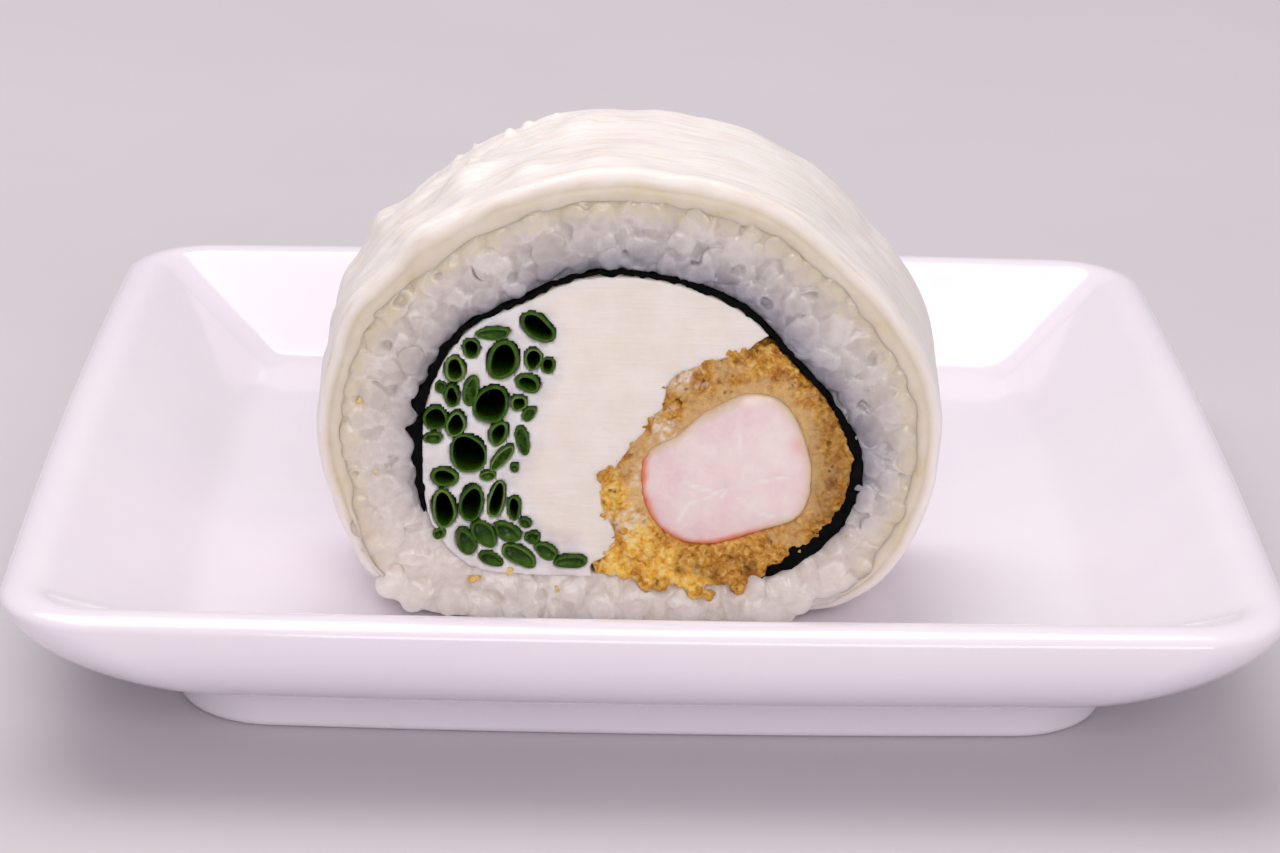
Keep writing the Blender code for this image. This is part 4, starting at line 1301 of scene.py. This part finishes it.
    def build(self) -> Piece:
        """Make all the stalks as one piece."""
        rng = random.Random(self.seed)
        shape = bmesh.new()
        layer = shape.verts.layers.float.new("part")
        for row in self.stalks:
            self.stalk(shape, layer, rng, row)
        return dress(to_piece("chive_stalks", shape), CHIVE, "chives", "chives")


@dataclass
class CrumbCrust:
    """The fried crust: a porous bar round the prawn, with crumbs melted onto its cuts and edges."""

    layout: RollLayout
    sizes: tuple[float, float] = (0.4 * MM, 1.25 * MM)
    spacing: float = 0.62 * MM
    voxel: float = 0.182 * MM
    seed: int = 5
    bright_spots: Keys = ((-2.0, 10.4), (-0.6, 7.0), (1.4, 4.6), (-2.4, 4.8), (3.4, 3.4))
    pale_spots: Keys = ((11.4, 7.4), (12.6, 6.6), (2.6, 20.2), (6.0, 21.6))
    creamy_spots: Keys = ((0.4, 12.2), (-1.6, 8.6), (1.6, 16.6), (2.9, 21.3))
    dark_spots: Keys = (
        (7.4, 5.5), (8.4, 5.1), (8.0, 4.5), (15.2, 9.4), (14.7, 12.0), (3.0, 4.6), (4.4, 4.4), (5.7, 4.2))
    spill: tuple[tuple[float, float, float], ...] = (
        (0.2, 3.3, 1.9), (1.5, 2.9, 1.2), (4.2, 2.7, 1.8), (5.3, 2.2, 1.1),
        (7.7, 3.3, 2.1), (8.9, 3.0, 1.2), (-1.8, 3.9, 1.5), (3.0, 3.3, 1.3))

    def lump(self, shape: bmesh.types.BMesh, rng: random.Random,
             place: Sequence[float], size: float) -> None:
        """Add one rough crumb."""
        bead = bmesh.ops.create_icosphere(shape, subdivisions=1, radius=0.5)["verts"]
        for corner in bead:
            corner.co *= rng.uniform(0.75, 1.2)
        sizes = Matrix.Diagonal([size * rng.uniform(0.55, 1.3) for _ in range(3)] + [1.0])
        spin = (Matrix.Rotation(rng.uniform(0, math.tau), 4, "Y")
                @ Matrix.Rotation(rng.uniform(0, math.tau), 4, "X"))
        bmesh.ops.transform(shape, matrix=Matrix.Translation(place) @ spin @ sizes, verts=bead)

    def build(self, fillings: Points, crust: Points, prawn: Points) -> Piece:
        """Cut the bar, melt the crumbs onto it, and open its pits."""
        layout = self.layout
        body = layout.bar("crumb_crust", crust)
        combined(body, "INTERSECT", layout.bar("limit", fillings, MM))
        combined(body, "DIFFERENCE", layout.bar("room", grown(prawn, -0.15 * MM), MM))
        shape = bmesh.new()
        shape.from_mesh(body.data)
        rng = random.Random(self.seed)
        for side in Side:
            face = layout.face(side)
            for x, z in scatter(rng, grown(crust, 0.25 * MM), (prawn,), self.spacing, 0.15 * MM):
                if not inside(np.array([(x, z)]), grown(fillings, -0.2 * MM))[0]:
                    continue
                size = rng.uniform(*self.sizes)
                y = face + side.value * rng.uniform(-0.35, 0.12) * MM
                self.lump(shape, rng, (x, y, z + layout.floor_height), size)
            for x, z, size in self.spill:
                place = (x * MM, face + side.value * 0.05 * MM, z * MM + layout.floor_height)
                self.lump(shape, rng, place, size * MM)
        shape.to_mesh(body.data)
        shape.free()
        largest(fused(body, self.voxel, 1))
        points = places(body)
        outward = normals(body)
        crags = wave(points, 0.8 * MM, 3)
        rough = wave(points + 13 * MM, 0.42 * MM, 2)
        flat = layout.flat(points)
        way = np.concatenate([way_to(part, prawn[::3]) for part in np.array_split(flat, 8)])
        hole = (np.clip(4.0 * (wave(points + 29 * MM, 0.8 * MM, 3) - 0.6), 0.0, 1.0)
                * np.clip(way / (0.9 * MM), 0, 1))
        near = np.exp(-np.maximum(0.0, layout.depth_behind(points)) / (1.2 * MM))
        calm = np.clip(way / (1.4 * MM), 0.25, 1.0)
        points += outward * (calm * MM * (0.26 * crags + 0.12 * rough) - 0.45 * MM * hole * near)[:, None]
        move_to(body, points)
        self.tell(body, points, hole, way)
        return dress(body, CRUMB, "crust", "crust")

    def tell(self, body: Piece, points: Points, hole: Points, way: Points) -> None:
        """Store where the crumb is bright, smeared with cheese, soft against the prawn, or dark, the dark
        being painted shade in its pits and darker spots elsewhere.

        Args:
            body: the crust.
            points: its corners.
            hole: how deep in a pit each corner lies, from 0 to 1.
            way: each corner's distance from the prawn.
        """
        flat = self.layout.flat(points)
        ragged = 0.8 * wave(points + 17 * MM, 1.1 * MM, 3)

        def round_spots(spots: Keys, reach: float) -> Points:
            """Give how near the corners lie to some spots, from 0 to 1, with a ragged edge."""
            near = np.min(np.linalg.norm(flat[:, None, :] - np.array(spots) * MM, axis=2), 1)
            return np.clip(1.5 - near / reach + ragged, 0.0, 1.0)

        upper = np.clip((flat[:, 1] - 8.0 * MM) / (2.0 * MM), 0.0, 1.0)
        batter = np.clip(1.1 - way / (1.7 * MM) + ragged, 0.0, 0.8) * upper
        mark(body, "soft", np.maximum(batter, 0.75 * round_spots(self.pale_spots, 1.0 * MM)))
        mark(body, "bright", round_spots(self.bright_spots, 1.7 * MM))
        broken = np.clip(0.5 + 2.5 * wave(points + 5 * MM, 0.6 * MM, 3), 0.0, 1.0)
        mark(body, "creamy", 0.85 * broken * round_spots(self.creamy_spots, 1.2 * MM))
        # Darker towards the crust's right edge.
        darker_to_right = 0.35 * np.clip((flat[:, 0] - 12.5 * MM) / (2.0 * MM), 0.0, 1.0)
        dark = np.maximum(darker_to_right, (0.3 + 0.45 * broken) * round_spots(self.dark_spots, 0.55 * MM))
        # Painted shade in the pits, together with the darker spots and the darker right edge.
        pits = np.maximum(0.8 * hole, dark) + 0.4 * np.maximum(0.0, ragged - 0.3)
        mark(body, "pit", np.clip(pits, 0.0, 0.9))


@dataclass
class PrawnBar:
    """The prawn's flesh, slightly domed at both cuts."""

    layout: RollLayout
    voxel: float = 0.26 * MM
    dome: float = 0.55 * MM
    blush_at: tuple[float, float] = (12.3, 15.4)
    fibres: tuple[tuple[tuple[float, float], ...], ...] = (
        ((7.3, 16.2), (7.6, 14.2), (7.2, 12.2), (6.0, 10.9)),
        ((1.0, 11.6), (3.2, 12.0), (5.6, 11.3), (8.0, 12.0), (11.4, 12.7)),
        ((2.6, 8.6), (3.4, 10.2), (5.2, 10.9)), ((7.4, 10.8), (9.0, 9.6), (10.6, 9.0)))

    def build(self, prawn: Points) -> Piece:
        """Round the bar's edges, dome its cuts and store where fibres, blush and skin line run."""
        bar = fused(self.layout.bar("prawn_flesh", prawn), self.voxel, 3)
        points = places(bar)
        flat = self.layout.flat(points)
        way = way_to(flat, prawn[::2])
        near = np.exp(-np.maximum(0.0, self.layout.depth_behind(points)) / (1.0 * MM))
        rise = self.dome * (1 - np.exp(-way / (1.6 * MM))) + 0.16 * MM * wave(points, 3.2 * MM, 2)
        lines = np.min([way_to(flat, np.array(line + line[::-1]) * MM) for line in self.fibres], 0)
        groove = np.exp(-(lines / (0.22 * MM)) ** 2)
        points[:, 1] += self.layout.towards_cut(points) * near * (rise - 0.12 * MM - 0.05 * MM * groove)
        move_to(bar, points)
        middle = prawn.mean(0)
        bearings = np.degrees(np.arctan2(*(flat - middle).T[::-1])) % 360.0
        skin = np.clip((bearings - 160.0) / 14.0, 0, 1) * np.clip((312.0 - bearings) / 20.0, 0, 1)
        red_line = np.clip(1.8 - way / (0.4 * MM) + 0.6 * wave(points, 1.1 * MM), 0.0, 1.0)
        pale_band = np.clip(1.3 - way / (0.75 * MM) + 0.4 * wave(points, 1.5 * MM), 0.0, 1.0)
        mark(bar, "skin", 0.9 * skin * red_line)
        mark(bar, "batter", (1 - skin) * pale_band)
        broken = np.clip(0.45 + 1.2 * wave(points, 2.2 * MM), 0.0, 0.8)
        veins = (broken * np.exp(-(lines / (0.14 * MM)) ** 2)
                 + 0.45 * np.clip(wave(points, (1.3 * MM, 4 * MM, 1.9 * MM), 3), 0, 1))
        mark(bar, "fibre", np.clip(veins, 0.0, 1.0))
        spot = np.linalg.norm(flat - np.array(self.blush_at) * MM, axis=1)
        rim = 0.35 * np.exp(-way / (0.9 * MM)) * (0.4 + 0.6 * skin)
        mark(bar, "blush", np.clip(0.8 * np.exp(-(spot / (0.7 * MM)) ** 2) + rim, 0.0, 1.0))
        return dress(bar, PRAWN, "prawn", "prawn")


@dataclass
class LooseBits:
    """The few crumbs that lie on the cut rice."""

    layout: RollLayout
    seed: int = 31
    # across, up and size in millimetres
    crumbs: tuple[tuple[float, float, float], ...] = (
        (-22.9, 18.5, 0.6), (-13.7, 3.3, 0.75), (-10.9, 4.1, 0.8), (-7.0, 2.5, 0.6), (16.4, 7.5, 0.5),
        (12.4, 3.2, 0.4), (-21.5, 12.4, 0.35), (18.6, 20.0, 0.35))

    def build(self) -> Piece:
        """Set each crumb half into the rice of the front cut."""
        rng = random.Random(self.seed)
        shape = bmesh.new()
        for x, z, size in self.crumbs:
            bead = bmesh.ops.create_icosphere(shape, subdivisions=3, radius=size / 2 * MM)["verts"]
            place = Vector((x * MM, self.layout.face_y + 0.05 * MM, z * MM + self.layout.floor_height))
            for corner in bead:
                corner.co *= 1 + 0.9 * noise.noise(corner.co / (0.28 * MM) + Vector((rng.random(), x, z)))
            bmesh.ops.scale(shape, verts=bead, vec=(rng.uniform(0.8, 1.4), 0.8, rng.uniform(0.8, 1.4)))
            bmesh.ops.translate(shape, verts=bead, vec=place)
        piece = to_piece("loose_crumbs", shape)
        count = len(piece.data.vertices)
        for name, value in (("bright", 1.0), ("soft", 0.1), ("creamy", 0.15), ("pit", 0.0)):
            mark(piece, name, np.full(count, value))
        return dress(piece, CRUMB, "crust")


# The studio


@dataclass
class Studio:
    """The pale floor, the soft lights and the camera at the photograph's angle."""

    floor_size: float = 3.0
    focal: float = 101.25
    sensor: float = 36.0
    distance: float = 0.3168
    aim: tuple[float, float, float] = (0.0, 0.0, 12.9 * MM)
    pitch: float = 20.107
    yaw: float = 1.122
    roll: float = 1.347
    # name, place, width and height in metres, watts and colour of each soft box
    boxes: tuple[tuple[str, tuple[float, float, float], tuple[float, float], float, str], ...] = (
        ("overhead_box", (-0.1, 0.16, 0.62), (0.6, 0.5), 2.9, "#fffaf8"),
        ("front_box", (0.12, -0.75, 0.36), (0.5, 0.4), 2.7, "#fff9f6"))
    sky: str = "#f4eff5"
    sky_strength: float = 0.42

    def floor(self) -> None:
        """Lay the floor under the dish's foot."""
        shape = bmesh.new()
        bmesh.ops.create_grid(shape, x_segments=8, y_segments=8, size=self.floor_size / 2)
        floor = to_piece("studio_floor", shape)
        floor.data.materials.append(FLOOR.build())

    def camera(self) -> None:
        """Set the camera from its aim, distance and three turns."""
        pitch, yaw, roll = (math.radians(angle) for angle in (self.pitch, self.yaw, self.roll))
        ahead = Vector((math.sin(yaw) * math.cos(pitch), math.cos(yaw) * math.cos(pitch), -math.sin(pitch)))
        right = Vector((math.cos(yaw), -math.sin(yaw), 0.0))
        up = right.cross(ahead)
        level_right = math.cos(roll) * right + math.sin(roll) * up
        level_up = math.cos(roll) * up - math.sin(roll) * right
        data = bpy.data.cameras.new("camera")
        data.lens = self.focal
        data.sensor_width = self.sensor
        data.sensor_fit = "HORIZONTAL"
        data.clip_start = 0.01
        camera = bpy.data.objects.new("camera", data)
        turn = Matrix((level_right, level_up, -ahead)).transposed().to_4x4()
        camera.matrix_world = Matrix.Translation(Vector(self.aim) - ahead * self.distance) @ turn
        bpy.context.scene.collection.objects.link(camera)
        bpy.context.scene.camera = camera

    def light(self, name: str, place: Sequence[float], size: tuple[float, float],
              watts: float, colour: str) -> None:
        """Hang one soft box that looks at the roll."""
        data = bpy.data.lights.new(name, "AREA")
        data.shape = "RECTANGLE"
        data.size, data.size_y = size
        data.energy = watts
        data.color = linear(colour)[:3]
        box = bpy.data.objects.new(name, data)
        aim = Vector((0.0, -0.01, 0.02)) - Vector(place)
        box.rotation_euler = aim.to_track_quat("-Z", "Y").to_euler()
        box.location = place
        bpy.context.scene.collection.objects.link(box)

    def build(self) -> None:
        """Set up floor, lights, surroundings and camera."""
        self.floor()
        self.camera()
        for box in self.boxes:
            self.light(*box)
        world = bpy.data.worlds.new("studio")
        world.use_nodes = True
        ground = world.node_tree.nodes["Background"]
        ground.inputs["Color"].default_value = linear(self.sky)
        ground.inputs["Strength"].default_value = self.sky_strength
        bpy.context.scene.world = world
        bpy.context.scene.view_settings.view_transform = "Standard"


def main() -> None:
    """Build the studio, then each sub-assembly in its place."""
    logging.basicConfig(level=logging.INFO, format="%(name)s: %(message)s")
    Studio().build()
    Dish().build()
    layout = RollLayout()
    outline = layout.round(layout.outline_keys)
    nori_line = layout.round(layout.nori_keys)
    fillings = layout.fillings()
    zone = smooth_outline(layout.chive_zone_keys, 5)
    crust = smooth_outline(layout.crust_keys, 6)
    prawn = smooth_outline(layout.prawn_keys, 12)
    wrap = CreamWrap(layout)
    wrap.build(outline)
    rice = RiceRing(layout)
    rice_edge, rice_hole = rice.edges(outline, nori_line, wrap.depths())
    rice.core(rice_edge, rice_hole)
    for side, seed in zip(Side, rice.seeds):
        rice.grains(side, rice_edge, rice_hole, seed)
    NoriSheet(layout).build()
    chives = ChiveBundle(layout)
    CheeseBlock(layout).build(fillings, zone, crust, chives.sunk)
    chives.build()
    CrumbCrust(layout).build(fillings, crust, prawn)
    PrawnBar(layout).build(prawn)
    LooseBits(layout).build()


if __name__ == "__main__":
    main()
